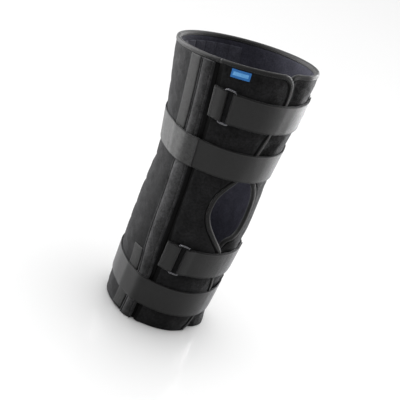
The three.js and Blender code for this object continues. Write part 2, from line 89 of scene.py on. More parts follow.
RING_REACH = 13.4 * MM
RING_CLEARANCE = 1 * MM
EYE_CLEARANCE = 0.3 * MM
LABEL_WIDTH = 26 * MM
LABEL_HEIGHT = 11.5 * MM
LABEL_THICKNESS = 0.8 * MM
LABEL_BELOW_BINDING = 1 * MM
LABEL_TURN = -43.5

# Sections of the outside surface. up is a share of LENGTH, the others of TOP_RADIUS.
SECTIONS = {
    "up": [0, 0.2, 0.4, 0.6, 0.8, 1],
    "radius": [0.732, 0.765, 0.798, 0.795, 0.892, 1],
    "forward": [0.194, 0.198, 0.214, 0.2, 0.12, 0],
}
# Front edge of the left panel, from the lower rim up, and of the right panel under it.
LEFT_EDGE = {
    "up": [0, 0.006, 0.017, 0.045, 0.1, 0.178, 0.21, 0.27, 0.334, 0.388, 0.434, 0.478, 0.537,
           0.576, 0.612, 0.654, 0.717, 0.795, 0.866, 0.924, 0.963, 0.98, 0.994, 1],
    "turn": [6.5, 8.5, 11, 14.5, 19.5, 22, 19, 12.8, 6.5, -8, -20, -26, -25,
             -18.5, -10.5, -5.5, -2, 2, 4.3, 4.5, 2.5, 0, -4, -8.5],
}
RIGHT_EDGE = {
    "up": [0, 0.006, 0.017, 0.045, 0.1, 0.178, 0.27, 0.32, 0.355, 0.387, 0.424, 0.483, 0.529,
           0.571, 0.62, 0.654, 0.717, 0.8, 0.9, 0.963, 0.98, 0.994, 1],
    "turn": [9.5, 7.5, 4.5, -1, -8, -12, -11, -4.5, 4, 7.5, 18, 21, 19.5,
             13.5, 1, -7, -12, -13, -11, -5, -1, 3.5, 8],
}
LAP_TOP_UP = 0.924
LAP_FOOT = 0.045
# Swing of the right panel's loose foot, below the lowest strap.
FLAP_FLARE = 5 * MM
FLAP_HEIGHT = 28 * MM
FLAP_TURNS = {"start": 14, "full": 26, "fading": 44, "end": 57}
# Side groove and the two edges of the stay sleeve behind it.
SIDE_LINES = {
    "up": [0, 0.07, 0.19, 0.3, 0.46, 0.6, 0.73, 1],
    "groove": [58, 57, 54.5, 56, 58.5, 60.5, 60.5, 61.5],
    "near": [60.5, 60, 58, 61, 62.5, 65, 65.5, 64.5],
    "far": [76, 74.5, 73.5, 77.5, 80.5, 83, 79, 76.5],
}
STRIPS = {"upper": (0.64, 0.983), "lower": (0.012, 0.263)}
STRAPS = {
    "strap_1": {"top": 0.935, "slope": 0.015, "ring_turn": -46},
    "strap_2": {"top": 0.736, "slope": 0.041, "side": 1},
    "strap_3": {"top": 0.356, "slope": -0.012, "ring_turn": -37.5},
    "strap_4": {"top": 0.191, "slope": -0.06, "side": -1},
}
TAB_START = 1.5
STRAP_ROOT = 58
STRAP_END = 50
LAP_FRONT = 61
LAP_BACK = 85
LAP_STEP = 8
LAP_SEAM = 150

# Foam: its slow unevenness, the width beside an edge where that fades in, and the pressed border
FOAM_UNEVENNESS = 0.35 * MM
BACK_UNEVENNESS = 0.4 * MM
BAND_UNEVENNESS = 0.12 * MM
FOAM_FADE = 8 * MM
BACK_FADE = 30 * MM
BORDER_PRESS = 0.9 * MM
LINING_PRESS = 0.6 * MM
PRESS_WIDTH = 5 * MM
BACK_LOW = 0.3 * MM
# Swelling of the three panels: share of excess cloth, most movement, frames, steps of hold
SKIN_EXCESS = 0.009
SWELL_CAP = 2 * MM
SWELL_FRAMES = 20
HOLD_STEPS = 20
# Distance of a stitch row from the edge of a tape, a hem, a strip and the long sides of a tab,
# and of a tab's box seam from its root and from its ring's bar
TAPE_ROW = 1.4 * MM
HEM_ROW = 3 * MM
STRIP_ROW = 2 * MM
BOX_ROW = 4 * MM
TAB_HEM = 2.5 * MM
TAB_FOLD = 9 * MM
# Stitches: pitch, length as a share of the pitch, thread, depth in the tape, points along a row
STITCH_PITCH = 3.6 * MM
BOX_PITCH = 2.8 * MM
STITCH_SHARE = 0.75
THREAD_RADIUS = 0.28 * MM
STITCH_SINK = 0.05 * MM
ROW_POINTS = 24
# The tag's folded border, and how many columns at a panel's edges take the painted groove shade
TAG_BORDER_WIDTH = 3.2 * MM
SHADE_COLUMNS = 6
# Seeds of the slow unevenness
SEEDS = {"left_front": 2, "right_front": 3, "back": 5, "sleeve": 11, "strip": 23,
         "ring_strap": 30, "tab": 31, "round_strap": 32, "lapped_end": 33}
# Least distance between two rows of a sheet, and its least thickness
LEAST_STEP = 0.2 * MM

# The frame's origin is under the middle of its box; the tube's axis lies a little behind it.
BACK_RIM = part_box("back_binding")
AXIS_X = (BACK_RIM[0].x + BACK_RIM[1].x) / 2
AXIS_Y = BACK_RIM[1].y - (TOP_RADIUS + BINDING_PROUD)


# Shape functions
def read(table, column, up):
    """Smooth reading of a table's column at up, through its rows."""
    at = np.asarray(table["up"], float)
    values = np.asarray(table[column], float)
    up = np.clip(np.asarray(up, float), at[0], at[-1])
    i = np.clip(np.searchsorted(at, up, side="right") - 1, 0, len(at) - 2)
    before = np.maximum(np.arange(len(at)) - 1, 0)
    after = np.minimum(np.arange(len(at)) + 1, len(at) - 1)
    tangent = (values[after] - values[before]) / (at[after] - at[before])
    span = at[i + 1] - at[i]
    s = (up - at[i]) / span
    return (
        (2 * s**3 - 3 * s**2 + 1) * values[i]
        + (s**3 - 2 * s**2 + s) * tangent[i] * span
        + (3 * s**2 - 2 * s**3) * values[i + 1]
        + (s**3 - s**2) * tangent[i + 1] * span
    )


def ease(share):
    s = np.clip(share, 0, 1)
    return s * s * (3 - 2 * s)


def radius_at(height):
    return TOP_RADIUS * read(SECTIONS, "radius", height / LENGTH)


def axis_at(height):
    return -TOP_RADIUS * read(SECTIONS, "forward", height / LENGTH)


def side_line(column, height):
    return read(SIDE_LINES, column, height / LENGTH)


def to_turn(length, height):
    return np.degrees(length / radius_at(height))


def slope_at(height):
    return RIM_SLOPE * height / LENGTH


def on_tube(turn, height, out):
    """Point of the tube, out metres outwards from the common surface."""
    turn, height, out = np.broadcast_arrays(*(np.asarray(v, float) for v in (turn, height, out)))
    radius = radius_at(height) + out
    a = np.radians(turn)
    y = axis_at(height) - radius * np.cos(a)
    return np.stack([radius * np.sin(a) + AXIS_X, y + AXIS_Y, height - slope_at(height) * y], -1)


def wander(a, b, seed):
    """Slow, soft unevenness of sewn padding, between -1 and 1, from two lengths in metres."""
    rng = np.random.default_rng(seed)
    total = np.zeros(np.broadcast(a, b).shape)
    for wave, weight in ((0.075, 0.45), (0.041, 0.3), (0.023, 0.25)):
        angle = rng.uniform(0, 2 * math.pi)
        phase = rng.uniform(0, 2 * math.pi, 2)
        along = (a * math.cos(angle) + b * math.sin(angle)) / wave
        across = (b * math.cos(angle) - a * math.sin(angle)) / (1.6 * wave)
        total += weight * np.sin(2 * math.pi * along + phase[0]) * np.cos(2 * math.pi * across + phase[1])
    return total


# Meshes
def mesh_object(name, points, faces, uv=None):
    mesh = bpy.data.meshes.new(name)
    mesh.from_pydata([tuple(p) for p in points], [], faces)
    mesh.validate()
    if uv is not None:
        layer = mesh.uv_layers.new(name="cloth")
        index = np.empty(len(mesh.loops), int)
        mesh.loops.foreach_get("vertex_index", index)
        layer.data.foreach_set("uv", np.asarray(uv, float)[index].ravel())
    mesh.shade_smooth()
    piece = bpy.data.objects.new(name, mesh)
    bpy.context.scene.collection.objects.link(piece)
    return piece


def loft(name, rings, uv, is_loop=False):
    """Closed body from rings of points, capped at both ends unless the rings form a loop."""
    rings = np.asarray(rings)
    rows, count = rings.shape[:2]
    points = rings.reshape(-1, 3)
    faces = []
    for r in range(rows if is_loop else rows - 1):
        here, there = r * count, (r + 1) % rows * count
        for i in range(count):
            j = (i + 1) % count
            faces.append((here + i, here + j, there + j, there + i))
    if not is_loop:
        for start, turned in ((0, True), ((rows - 1) * count, False)):
            for i in range(count // 2 - 1):
                k = count - 1 - i
                quad = (start + i, start + i + 1, start + k - 1, start + k)
                faces.append(quad[::-1] if turned else quad)
    if volume(points, faces) < 0:
        faces = [f[::-1] for f in faces]
    return mesh_object(name, points, faces, np.asarray(uv).reshape(-1, 2))


def volume(points, faces):
    f = np.asarray([(q[0], q[i], q[i + 1]) for q in faces for i in range(1, len(q) - 1)])
    a, b, c = points[f[:, 0]], points[f[:, 1]], points[f[:, 2]]
    return np.einsum("ij,ij->", a, np.cross(b, c))


# Of every padded sheet: its points' turn, height, distance from the side edges and whether they
# lie on the outer face; and the number of points round it.
SHEETS = {}


def padded_sheet(name, heights, starts, ends, outer, inner, step, bevel=1.6 * MM, round_ends=(True, True)):
    """Padded wall on the tube between two edge lines.

    outer and inner give the distance outwards at turn, height and the distances from both edges.
    The borders are rounded by bevel, the first and last row only where round_ends says so.
    """
    width = np.abs(ends - starts) / to_turn(1, heights)
    columns = max(6, int(width.max() / step))
    arc = np.radians(np.linspace(0, 90, 5))
    nose = bevel / width.mean()
    shares = np.concatenate([
        nose * (1 - np.cos(arc))[:-1],
        np.linspace(nose, 1 - nose, columns),
        (1 - nose * (1 - np.cos(arc)))[::-1][1:],
    ])
    inset = bevel * (1 - np.sin(arc))
    pinch = np.concatenate([inset[:-1], np.zeros(columns), inset[::-1][1:]])
    rows = [(h, s, e, 0.0) for h, s, e in zip(heights, starts, ends)]
    for at_end, is_round in zip((0, -1), round_ends):
        if not is_round:
            continue
        inwards = np.sign(rows[1][0] - rows[0][0]) * (1 if at_end == 0 else -1)
        h, s, e, _ = rows[at_end]
        curve = [(h + inwards * bevel * (1 - math.cos(a)), s, e, bevel * (1 - math.sin(a))) for a in arc]
        kept = [row for row in rows if (row[0] - curve[-1][0]) * inwards > LEAST_STEP]
        rows = curve + kept if at_end == 0 else kept + curve[::-1]
    rings, uv, places = [], [], []
    for h, a, b, squeeze in rows:
        turns = a + (b - a) * shares
        per = to_turn(1, h)
        from_a, from_b = np.abs(turns - a) / per, np.abs(b - turns) / per
        place = np.stack([turns, np.full(len(turns), h), np.minimum(from_a, from_b), turns * 0 + 1], -1)
        places.append(np.concatenate([place, place[::-1] * [1, 1, 1, 0]]))
        top = outer(turns, h, from_a, from_b) - pinch - squeeze
        low = inner(turns, h, from_a, from_b) + np.minimum(pinch, WALL / 3) + min(squeeze, WALL / 3)
        low = np.minimum(low, top - LEAST_STEP)
        rings.append(np.concatenate([on_tube(turns, h, top), on_tube(turns[::-1], h, low[::-1])]))
        along = turns / per
        uv.append(np.stack([np.concatenate([along, along[::-1]]), np.full(2 * len(turns), h)], -1))
    piece = loft(name, rings, uv)
    SHEETS[name] = np.concatenate(places).T, len(rings[0])
    return piece


# Panels
LAP_DROP = WALL + 2 * BINDING_PROUD + GAP


def lap_dip(turn, height, ramp=LAP_RAMP):
    """The right panel runs one wall lower where the left one laps over it."""
    up = np.clip(height / LENGTH, LAP_FOOT, LAP_TOP_UP)
    past = (turn - read(LEFT_EDGE, "turn", up)) / to_turn(1, height)
    return flap_flare(turn, height) - LAP_DROP * (1 - ease((past - LAP_LEVEL) / ramp))


def soft_lap(turn, height):
    """The same for the foam itself, which comes back up more slowly than the straps drawn over it."""
    return lap_dip(turn, height, LAP_SPREAD)


def flap_flare(turn, height):
    """Outward swing of the right panel's loose foot."""
    t = FLAP_TURNS
    across = ease((turn - t["start"]) / (t["full"] - t["start"]))
    across = across * (1 - ease((turn - t["fading"]) / (t["end"] - t["fading"])))
    return FLAP_FLARE * across * (1 - ease(height / FLAP_HEIGHT))


def no_dip(turn, height):
    return 0 * (turn + height)


def border_path(edge, side, step):
    """Bound border of a front panel, from the side groove along the rim and down its edge."""
    rear = side * (side_line("groove", LENGTH) - to_turn(GAP / 2, LENGTH))
    corner = edge["turn"][-1]
    count = int(abs(rear - corner) / to_turn(1, LENGTH) / step)
    rim = [(t, LENGTH) for t in np.linspace(rear, corner, count)]
    ups = np.linspace(1, 0, 4000)
    turns, heights = read(edge, "turn", ups), ups * LENGTH
    run = np.hypot(np.diff(turns) / to_turn(1, heights[1:]), np.diff(heights))
    length = np.concatenate([[0], np.cumsum(run)])
    marks = np.linspace(0, length[-1], int(length[-1] / step))[1:]
    down = list(zip(np.interp(marks, length, turns), np.interp(marks, length, heights)))
    return np.array(rim + down), len(rim) - 1


def path_frame(path, side):
    """Unit directions along and across a border, in metres on the tube; across points off the panel."""
    per = to_turn(1, path[:, 1])
    s = np.gradient(path[:, 0]) / per
    h = np.gradient(path[:, 1])
    length = np.hypot(s, h)
    s, h = s / length, h / length
    return np.stack([s, h], -1), np.stack([side * h, -side * s], -1)


def moved(path, direction, distance):
    """Path shifted by a distance along unit directions on the tube."""
    turn = path[:, 0] + to_turn(1, path[:, 1]) * direction[:, 0] * distance
    return np.stack([turn, path[:, 1] + direction[:, 1] * distance], -1)


def roll(distance):
    """Soft roll of a front panel along its side groove."""
    return ROLL_HEIGHT * np.sin(math.pi * np.clip(distance / ROLL_WIDTH, 0, 1)) ** 2


def front_panel(name, edge, side):
    """Padded front panel between its side groove and its bound front edge; side is -1 or 1."""
    path, corner = border_path(edge, side, 2.2 * MM)
    along, across = path_frame(path, side)
    reach = BINDING_WIDTH + GAP
    ends = moved(path, across, -reach)[corner:]
    ends[0, 1] = LENGTH - reach
    foot = moved(path[-1:], along[-1:], 2 * GAP)[0]
    rows = [ends[0]]
    for end in ends[1:]:
        if end[1] < rows[-1][1] - 0.25 * MM:
            rows.append(end)
    rows.append([foot[0], 0])
    rows = np.array(rows)
    heights = rows[:, 1]
    rear = side * (side_line("groove", heights) - to_turn(GAP / 2, heights))
    level = no_dip if side < 0 else soft_lap

    def outer(turn, height, from_rear, from_front):
        soft = FOAM_UNEVENNESS * wander(turn / to_turn(1, height), height, SEEDS[name])
        soft = soft * ease(from_rear / FOAM_FADE) * ease(from_front / FOAM_FADE)
        pressed = -BORDER_PRESS * (1 - ease(from_front / PRESS_WIDTH))
        return level(turn, height) + roll(from_rear) + soft + pressed

    def inner(turn, height, from_rear, from_front):
        return level(turn, height) - WALL + LINING_PRESS * (1 - ease(from_front / PRESS_WIDTH))

    return padded_sheet(name, heights, rear, rows[:, 0], outer, inner, 2.4 * MM, round_ends=(False, True))


def back_edge(height):
    return side_line("groove", height) + to_turn(GAP / 2, height)


def back_panel(name):
    top = LENGTH - BINDING_WIDTH - GAP
    heights = np.linspace(top, 0, 125)

    def outer(turn, height, from_a, from_b):
        edge = np.minimum(from_a, from_b)
        soft = BACK_UNEVENNESS * wander(turn / to_turn(1, height), height, SEEDS[name])
        soft = soft * ease(edge / BACK_FADE)
        return soft - BACK_LOW - GROOVE_DEPTH * (1 - ease((edge - 2 * MM) / (4 * MM)))

    def inner(turn, height, from_a, from_b):
        return 0 * turn - WALL

    edge = back_edge(heights)
    return padded_sheet(name, heights, edge, 360 - edge, outer, inner, 3.6 * MM, round_ends=(False, True))


def binding(name, path, side, level):
    """Tape folded over a bound edge: a flat leg on either side and a round nose."""
    along, across = path_frame(path, side)
    half = WALL / 2 + BINDING_PROUD
    arc = np.radians(np.linspace(90, -90, 11))
    # The sewn end of a leg is pulled down over its last 1.6 mm.
    section = [(-BINDING_WIDTH, half - 0.7 * MM), (-BINDING_WIDTH + 0.5 * MM, half - 0.1 * MM)]
    section += [(-BINDING_WIDTH + 1.6 * MM, half)]
    section += [(half * (np.cos(a) - 1), half * np.sin(a)) for a in arc]
    section += [(x, -o) for x, o in section[2::-1]]
    base = level(path[:, 0], path[:, 1])
    rings = []
    for i in range(len(section)):
        reach, out = section[i]
        p = moved(path, across, reach)
        rings.append(on_tube(p[:, 0], np.maximum(p[:, 1], 0), base + out - WALL / 2))
    rings = np.stack(rings, 1)
    run = np.concatenate([[0], np.cumsum(np.linalg.norm(np.diff(rings[:, 5], axis=0), axis=1))])
    lap = np.concatenate([[0], np.cumsum(np.linalg.norm(np.diff(np.array(section), axis=0), axis=1))])
    uv = np.stack(np.meshgrid(lap, run), -1)
    return loft(name, rings, uv), moved(path, across, -BINDING_WIDTH + TAPE_ROW), base


def sleeve_out(share):
    """Crown of a stay sleeve, outwards from the common surface, at a share of its width."""
    rise = np.sin(math.pi * np.clip(share, 0, 1)) ** 0.6
    return SEAT + SLEEVE_EDGE + (SLEEVE_HEIGHT - SLEEVE_EDGE) * rise


def stay_sleeve(name, side):
    """Raised sleeve along a stay, with a piping and a sewn valley along both edges."""
    heights = np.linspace(LENGTH - BINDING_WIDTH - GAP, 0, 140)
    near, far = side_line("near", heights), side_line("far", heights)

    def outer(turn, height, from_a, from_b):
        share = from_a / (from_a + from_b)
        soft = FOAM_UNEVENNESS * wander(from_a * 0 + side, height, SEEDS["sleeve"])
        soft = soft * np.sin(math.pi * share)
        seam = np.minimum(from_a, from_b) - 2.6 * PIPING_WIDTH
        valley = -0.9 * MM * np.exp(-((seam - 2 * PIPING_WIDTH) / PIPING_WIDTH) ** 2)
        piping = PIPING_HEIGHT * np.exp(-((seam / PIPING_WIDTH) ** 2))
        return sleeve_out(share) + soft + valley + piping - 0.45 * MM

    def inner(turn, height, from_a, from_b):
        return 0 * turn + SEAT

    return padded_sheet(name, heights, side * near, side * far, outer, inner, 0.6 * MM, 0.7 * MM)


def strip_edge(height):
    return side_line("far", height) + to_turn(4 * GAP, height)


def fastening_strip(name, low, high, side):
    """Flat hook strip behind a sleeve, between two heights given as shares of LENGTH."""
    top = min(high * LENGTH, LENGTH - BINDING_WIDTH - GAP)
    heights = np.linspace(top, low * LENGTH, int((top - low * LENGTH) / (3 * MM)))
    start = strip_edge(heights)

    def outer(turn, height, from_a, from_b):
        return 0 * turn + SEAT + STRIP_THICKNESS + BAND_UNEVENNESS * wander(0, height, SEEDS["strip"])

    def inner(turn, height, from_a, from_b):
        return 0 * turn + SEAT

    ends = side * (start + to_turn(STRIP_WIDTH, heights))
    return padded_sheet(name, heights, side * start, ends, outer, inner, 2 * MM, 0.5 * MM)


def back_pocket(name, number):
    """Stay pocket on the inside of the back panel, bulging inwards."""
    place = number - (POCKET_COUNT - 1) / 2
    heights = np.linspace(LENGTH - BINDING_WIDTH - GAP - POCKET_HEAD, POCKET_FOOT, 90)
    middle = 180 + to_turn(place * (POCKET_WIDTH + GAP), heights)
    half = to_turn(POCKET_WIDTH / 2, heights)

    def outer(turn, height, from_a, from_b):
        return 0 * turn - WALL - SEAT

    def inner(turn, height, from_a, from_b):
        bulge = np.sin(math.pi * np.clip(from_a / (from_a + from_b), 0, 1)) ** 0.5
        return -WALL - SEAT - 0.5 * MM - (POCKET_DEPTH - 0.5 * MM) * bulge

    return padded_sheet(name, heights, middle - half, middle + half, outer, inner, 1.6 * MM, 0.4 * MM)


# Straps
def skin(turn, height, with_sleeves):
    """Outermost surface under a strap, outwards from the common surface."""
    t = np.where(turn > 180, turn - 360, turn)
    per = to_turn(1, height)
    aside = (np.abs(t) - side_line("groove", height)) / per
    edge = read(LEFT_EDGE, "turn", height / LENGTH)
    left = np.maximum(roll(-aside), BINDING_PROUD)
    right = np.maximum(roll(-aside), 0) + lap_dip(t, height) + BINDING_PROUD
    front = np.where(t <= edge, left, right)
    near, far = side_line("near", height), side_line("far", height)
    share = (np.abs(t) - near) / (far - near)
    strip = (np.abs(t) - strip_edge(height)) / to_turn(STRIP_WIDTH, height)
    behind = np.where((strip >= 0) & (strip <= 1), SEAT + STRIP_THICKNESS, 0)
    behind = np.where((share >= 0) & (share <= 1), sleeve_out(share), behind)
    return np.where(aside > 0, behind if with_sleeves else 0, front)


def height_in_plane(turn, level, slope):
    height = np.full(np.shape(turn), level)
    for _ in range(6):
        y = on_tube(turn, np.clip(height, 0, LENGTH), 0)[..., 1] - AXIS_Y
        height = level + (slope_at(height) - slope) * y
    return np.clip(height, 0, LENGTH)


class TautLine:
    """Convex outline of what lies under a strap's edge, read as a radius at a turn."""

    def __init__(self, level, slope, with_sleeves):
        turns = np.arange(0, 360, 1.0)
        height = height_in_plane(turns, level, slope)
        points = on_tube(turns, height, skin(turns, height, with_sleeves))[:, :2]
        points = points - np.array([AXIS_X, AXIS_Y])
        self.level, self.slope, self.centre = level, slope, float(axis_at(level))
        order = points[np.lexsort((points[:, 1], points[:, 0]))]
        hull = self.half(order) + self.half(order[::-1])
        self.a = np.array(hull)
        self.b = np.roll(self.a, -1, 0)

    @staticmethod
    def half(points):
        chain = []
        for p in points:
            while len(chain) > 1:
                a, b = chain[-2], chain[-1]
                if (b[0] - a[0]) * (p[1] - a[1]) - (b[1] - a[1]) * (p[0] - a[0]) > 0:
                    break
                chain.pop()
            chain.append(p)
        return chain[:-1]

    def radius(self, turn):
        a = np.radians(turn)
        d = np.array([math.sin(a), -math.cos(a)])
        e = self.b - self.a
        o = self.a - np.array([0, self.centre])
        cross = d[0] * e[:, 1] - d[1] * e[:, 0]
        cross = np.where(np.abs(cross) < 1e-12, 1e-12, cross)
        distance = (o[:, 0] * e[:, 1] - o[:, 1] * e[:, 0]) / cross
        share = (o[:, 0] * d[1] - o[:, 1] * d[0]) / cross
        hit = (distance > 0) & (share > -1e-9) & (share < 1 + 1e-9)
        return distance[hit].max()


class Band:
    """A strap's band, straight across its width between the taut lines of its edges."""

    def __init__(self, top, slope, ring_turn=None, side=None):
        sleeves = ring_turn is None
        levels = [top * LENGTH - STRAP_WIDTH * (1 - share) for share in (0, 0.5, 1)]
        self.low, self.middle, self.high = (TautLine(x, slope, sleeves) for x in levels)
        self.slope = slope
        self.per = math.degrees(1 / self.middle.radius(ring_turn or 0))
        turns = np.arange(-220, 581, 0.5)
        a, b, m = (np.array([line.radius(t) for t in turns]) for line in (self.low, self.high, self.middle))
        rise = np.maximum(0, m - (a + b) / 2)
        self.turns, self.a, self.b = turns, self.smooth(a + rise), self.smooth(b + rise)

    @staticmethod
    def smooth(values):
        """Webbing is a little stiff, so its corners are rounded over a few degrees."""
        kernel = np.hanning(13)
        kernel /= kernel.sum()
        return np.maximum(np.convolve(values, kernel, "same"), values - 0.25 * MM)

    def point(self, turn, across, out):
        share = across / STRAP_WIDTH
        a, b = np.interp(turn, self.turns, self.a), np.interp(turn, self.turns, self.b)
        radius = a + (b - a) * share + STRAP_CLEARANCE + out
        angle = np.radians(turn)
        y = self.low.centre + (self.high.centre - self.low.centre) * share - radius * np.cos(angle)
        z = self.low.level + (self.high.level - self.low.level) * share - self.slope * y
        return np.stack([radius * np.sin(angle) + AXIS_X, y + AXIS_Y, z], -1)


def ribbon(name, band, path, seed):
    """Webbing along a path of turn and middle distance outwards.

    Its section has round edges, a slightly raised selvedge and a shallow groove beside that.
    """
    path = np.asarray(path, float)
    run = np.gradient(path[:, 0]) / band.per
    rise = np.gradient(path[:, 1])
    length = np.hypot(run, rise)
    side, lift = -rise / length * band.per, run / length
    half = STRAP_THICKNESS / 2
    beside = np.array([0, 0.3, 0.6, 0.9, 1.4, 1.9, 2.4, 2.9, 3.4, 4.2]) * MM
    middle = np.linspace(7 * MM, STRAP_WIDTH - 7 * MM, 12)
    across = np.concatenate([beside, middle, STRAP_WIDTH - beside[::-1]])
    inwards = np.minimum(across, STRAP_WIDTH - across)
    thick = np.maximum(0.3, np.sqrt(1 - np.clip(1 - inwards / (0.9 * MM), 0, 1) ** 2))
    thick = thick + 0.14 * np.exp(-((inwards - 1.5 * MM) / (0.6 * MM)) ** 2)
    thick = half * (thick - 0.16 * np.exp(-((inwards - 2.9 * MM) / (0.5 * MM)) ** 2))
    distance = np.concatenate([[0], np.cumsum(length[1:])])
    rings, uv = [], []
    for i in range(len(path)):
        wave = BAND_UNEVENNESS * wander(distance[i], across, seed) * (thick / half)
        rows = []
        for sign, order in ((1, slice(None)), (-1, slice(None, None, -1))):
            t = sign * thick[order]
            turn, out = path[i, 0] + side[i] * t, path[i, 1] + lift[i] * t + wave[order]
            rows.append(band.point(turn, across[order], out))
        rings.append(np.concatenate(rows))
        both_faces = np.concatenate([across, across[::-1]])
        uv.append(np.stack([both_faces, np.full(len(both_faces), distance[i])], -1))
    return loft(name, rings, uv)


EYE = RING_WIRE / 2 + EYE_CLEARANCE
BAR_OUT = EYE + STRAP_THICKNESS


def folded_path(band, bar_turn, direction, outer_end, inner_end):
    """Path of webbing that runs in along the body, round a ring bar and back over itself."""
    half = STRAP_THICKNESS / 2
    over = STRAP_THICKNESS + GAP + half
    bend = EYE + half
    per = direction * band.per
    settle = bar_turn - per * 5 * bend
    count = max(4, int(abs(bar_turn - inner_end)))
    path = [(t, half) for t in np.linspace(inner_end, bar_turn, count)]
    path += [(bar_turn + per * bend * math.cos(a), BAR_OUT + bend * math.sin(a))
             for a in np.radians(np.arange(-75, 91, 15))]
    top = BAR_OUT + bend
    path += [(bar_turn + (settle - bar_turn) * s, top + (over - top) * float(ease(s)))
             for s in (0.2, 0.4, 0.6, 0.8)]
    path += [(t, over) for t in np.linspace(settle, outer_end, max(4, int(abs(settle - outer_end))))]
    return path


def seam_line(band, start, end, out):
    """Straight row between two points of turn and distance across a band."""
    turns, across = (np.linspace(a, b, ROW_POINTS) for a, b in zip(start, end))
    return band.point(turns, across, np.full(ROW_POINTS, out))


def box_seam(band, near, far, out):
    """Lines of a box with a cross, as sewn through both layers of a tab."""
    low, high = BOX_ROW, STRAP_WIDTH - BOX_ROW
    corners = [(near, low), (far, low), (far, high), (near, high)]
    pairs = [(0, 1), (1, 2), (2, 3), (3, 0), (0, 2), (1, 3)]
    return [seam_line(band, corners[a], corners[b], out) for a, b in pairs]


def wire_ring(name, band, centre_turn):
    """Rectangle of round wire, its corners bent to one wire's width, its sides along the band."""
    half = RING_REACH / 2
    bend = RING_WIRE
    low, high = -RING_CLEARANCE - RING_WIRE / 2, STRAP_WIDTH + RING_CLEARANCE + RING_WIRE / 2
    path = []
    for s, h, start in ((half, high, 0), (-half, high, 90), (-half, low, 180), (half, low, 270)):
        cs = s - math.copysign(bend, s)
        ch = h - bend if h == high else low + bend
        for a in np.radians(start + np.linspace(0, 90, 7)):
            path.append((cs + bend * math.cos(a), ch + bend * math.sin(a), math.cos(a), math.sin(a)))
        if start in (90, 270):
            way = (low + bend, high - bend) if start == 270 else (high - bend, low + bend)
            for h2 in np.linspace(*way, 12)[1:-1]:
                path.append((s, h2, math.copysign(1, s), 0))
    rings = []
    for s, h, ns, nh in path:
        a = np.linspace(0, 2 * math.pi, 13)[:-1]
        r = RING_WIRE / 2 * np.cos(a)
        turns = centre_turn + band.per * (s + ns * r)
        rings.append(band.point(turns, h + nh * r, BAR_OUT + RING_WIRE / 2 * np.sin(a)))
    uv = np.zeros((len(path), 12, 2))
    return loft(name, rings, uv, is_loop=True)


def label_piece(name):
    """Flat tag under the upper rim, thinner towards its border."""
    top = LENGTH - BINDING_WIDTH - LABEL_BELOW_BINDING
    heights = np.linspace(top, top - LABEL_HEIGHT, 22)
    half = to_turn(LABEL_WIDTH / 2, top)

    def outer(turn, height, from_a, from_b):
        rim = np.minimum(np.minimum(from_a, from_b), min(top - height, height - top + LABEL_HEIGHT))
        return 0 * turn + SEAT + LABEL_THICKNESS - 0.25 * MM * ease(rim / (1.5 * MM))

    def inner(turn, height, from_a, from_b):
        return 0 * turn + SEAT - 0.2 * MM

    starts = np.full(len(heights), LABEL_TURN - half)
    return padded_sheet(name, heights, starts, starts + 2 * half, outer, inner, 0.6 * MM, 0.3 * MM)


def border_faces(piece, width, material):
    """Gives the faces within width of a flat piece's rim another material."""
    uv = np.empty(2 * len(piece.data.loops))
    piece.data.uv_layers["cloth"].data.foreach_get("uv", uv)
    uv = uv.reshape(-1, 2)
    low, high = uv.min(0), uv.max(0)
    piece.data.materials.append(material)
    for face in piece.data.polygons:
        middle = uv[list(face.loop_indices)].mean(0)
        if min((middle - low).min(), (high - middle).min()) < width:
            face.material_index = 1


# Padding
def free_share(name):
    """How free each point of a padded panel is to swell: not at seams, under straps or inside."""
    (turn, height, beside, outer), _ = SHEETS[name]
    free = outer * ease((beside - 3 * MM) / (7 * MM))
    free = free * ease((height - 2 * MM) / (10 * MM)) * ease((LENGTH - BINDING_WIDTH - height) / (8 * MM))
    t = np.where(turn > 180, turn - 360, turn)
    groove = side_line("groove", height)
    for spec in STRAPS.values():
        low, high = (
            height_in_plane(t, spec["top"] * LENGTH - STRAP_WIDTH * share, spec["slope"]) for share in (1, 0)
        )
        away = np.maximum(low - height, height - high)
        if "ring_turn" in spec:
            away = np.where(np.abs(t) > groove, 1, away)
        free = free * ease((away - 1 * MM) / (7 * MM))
    near, far = side_line("near", height), strip_edge(height) + to_turn(STRIP_WIDTH, height)
    beside_strip = np.maximum(near - np.abs(t), np.abs(t) - far) / to_turn(1, height)
    free = free * np.where(np.abs(t) > groove, ease((beside_strip - 1 * MM) / (8 * MM)), 1)
    label_top = LENGTH - BINDING_WIDTH - LABEL_BELOW_BINDING
    off_label = np.maximum(
        np.abs(t - LABEL_TURN) / to_turn(1, height) - LABEL_WIDTH / 2, label_top - LABEL_HEIGHT - height
    )
    return free * ease(off_label / (6 * MM))


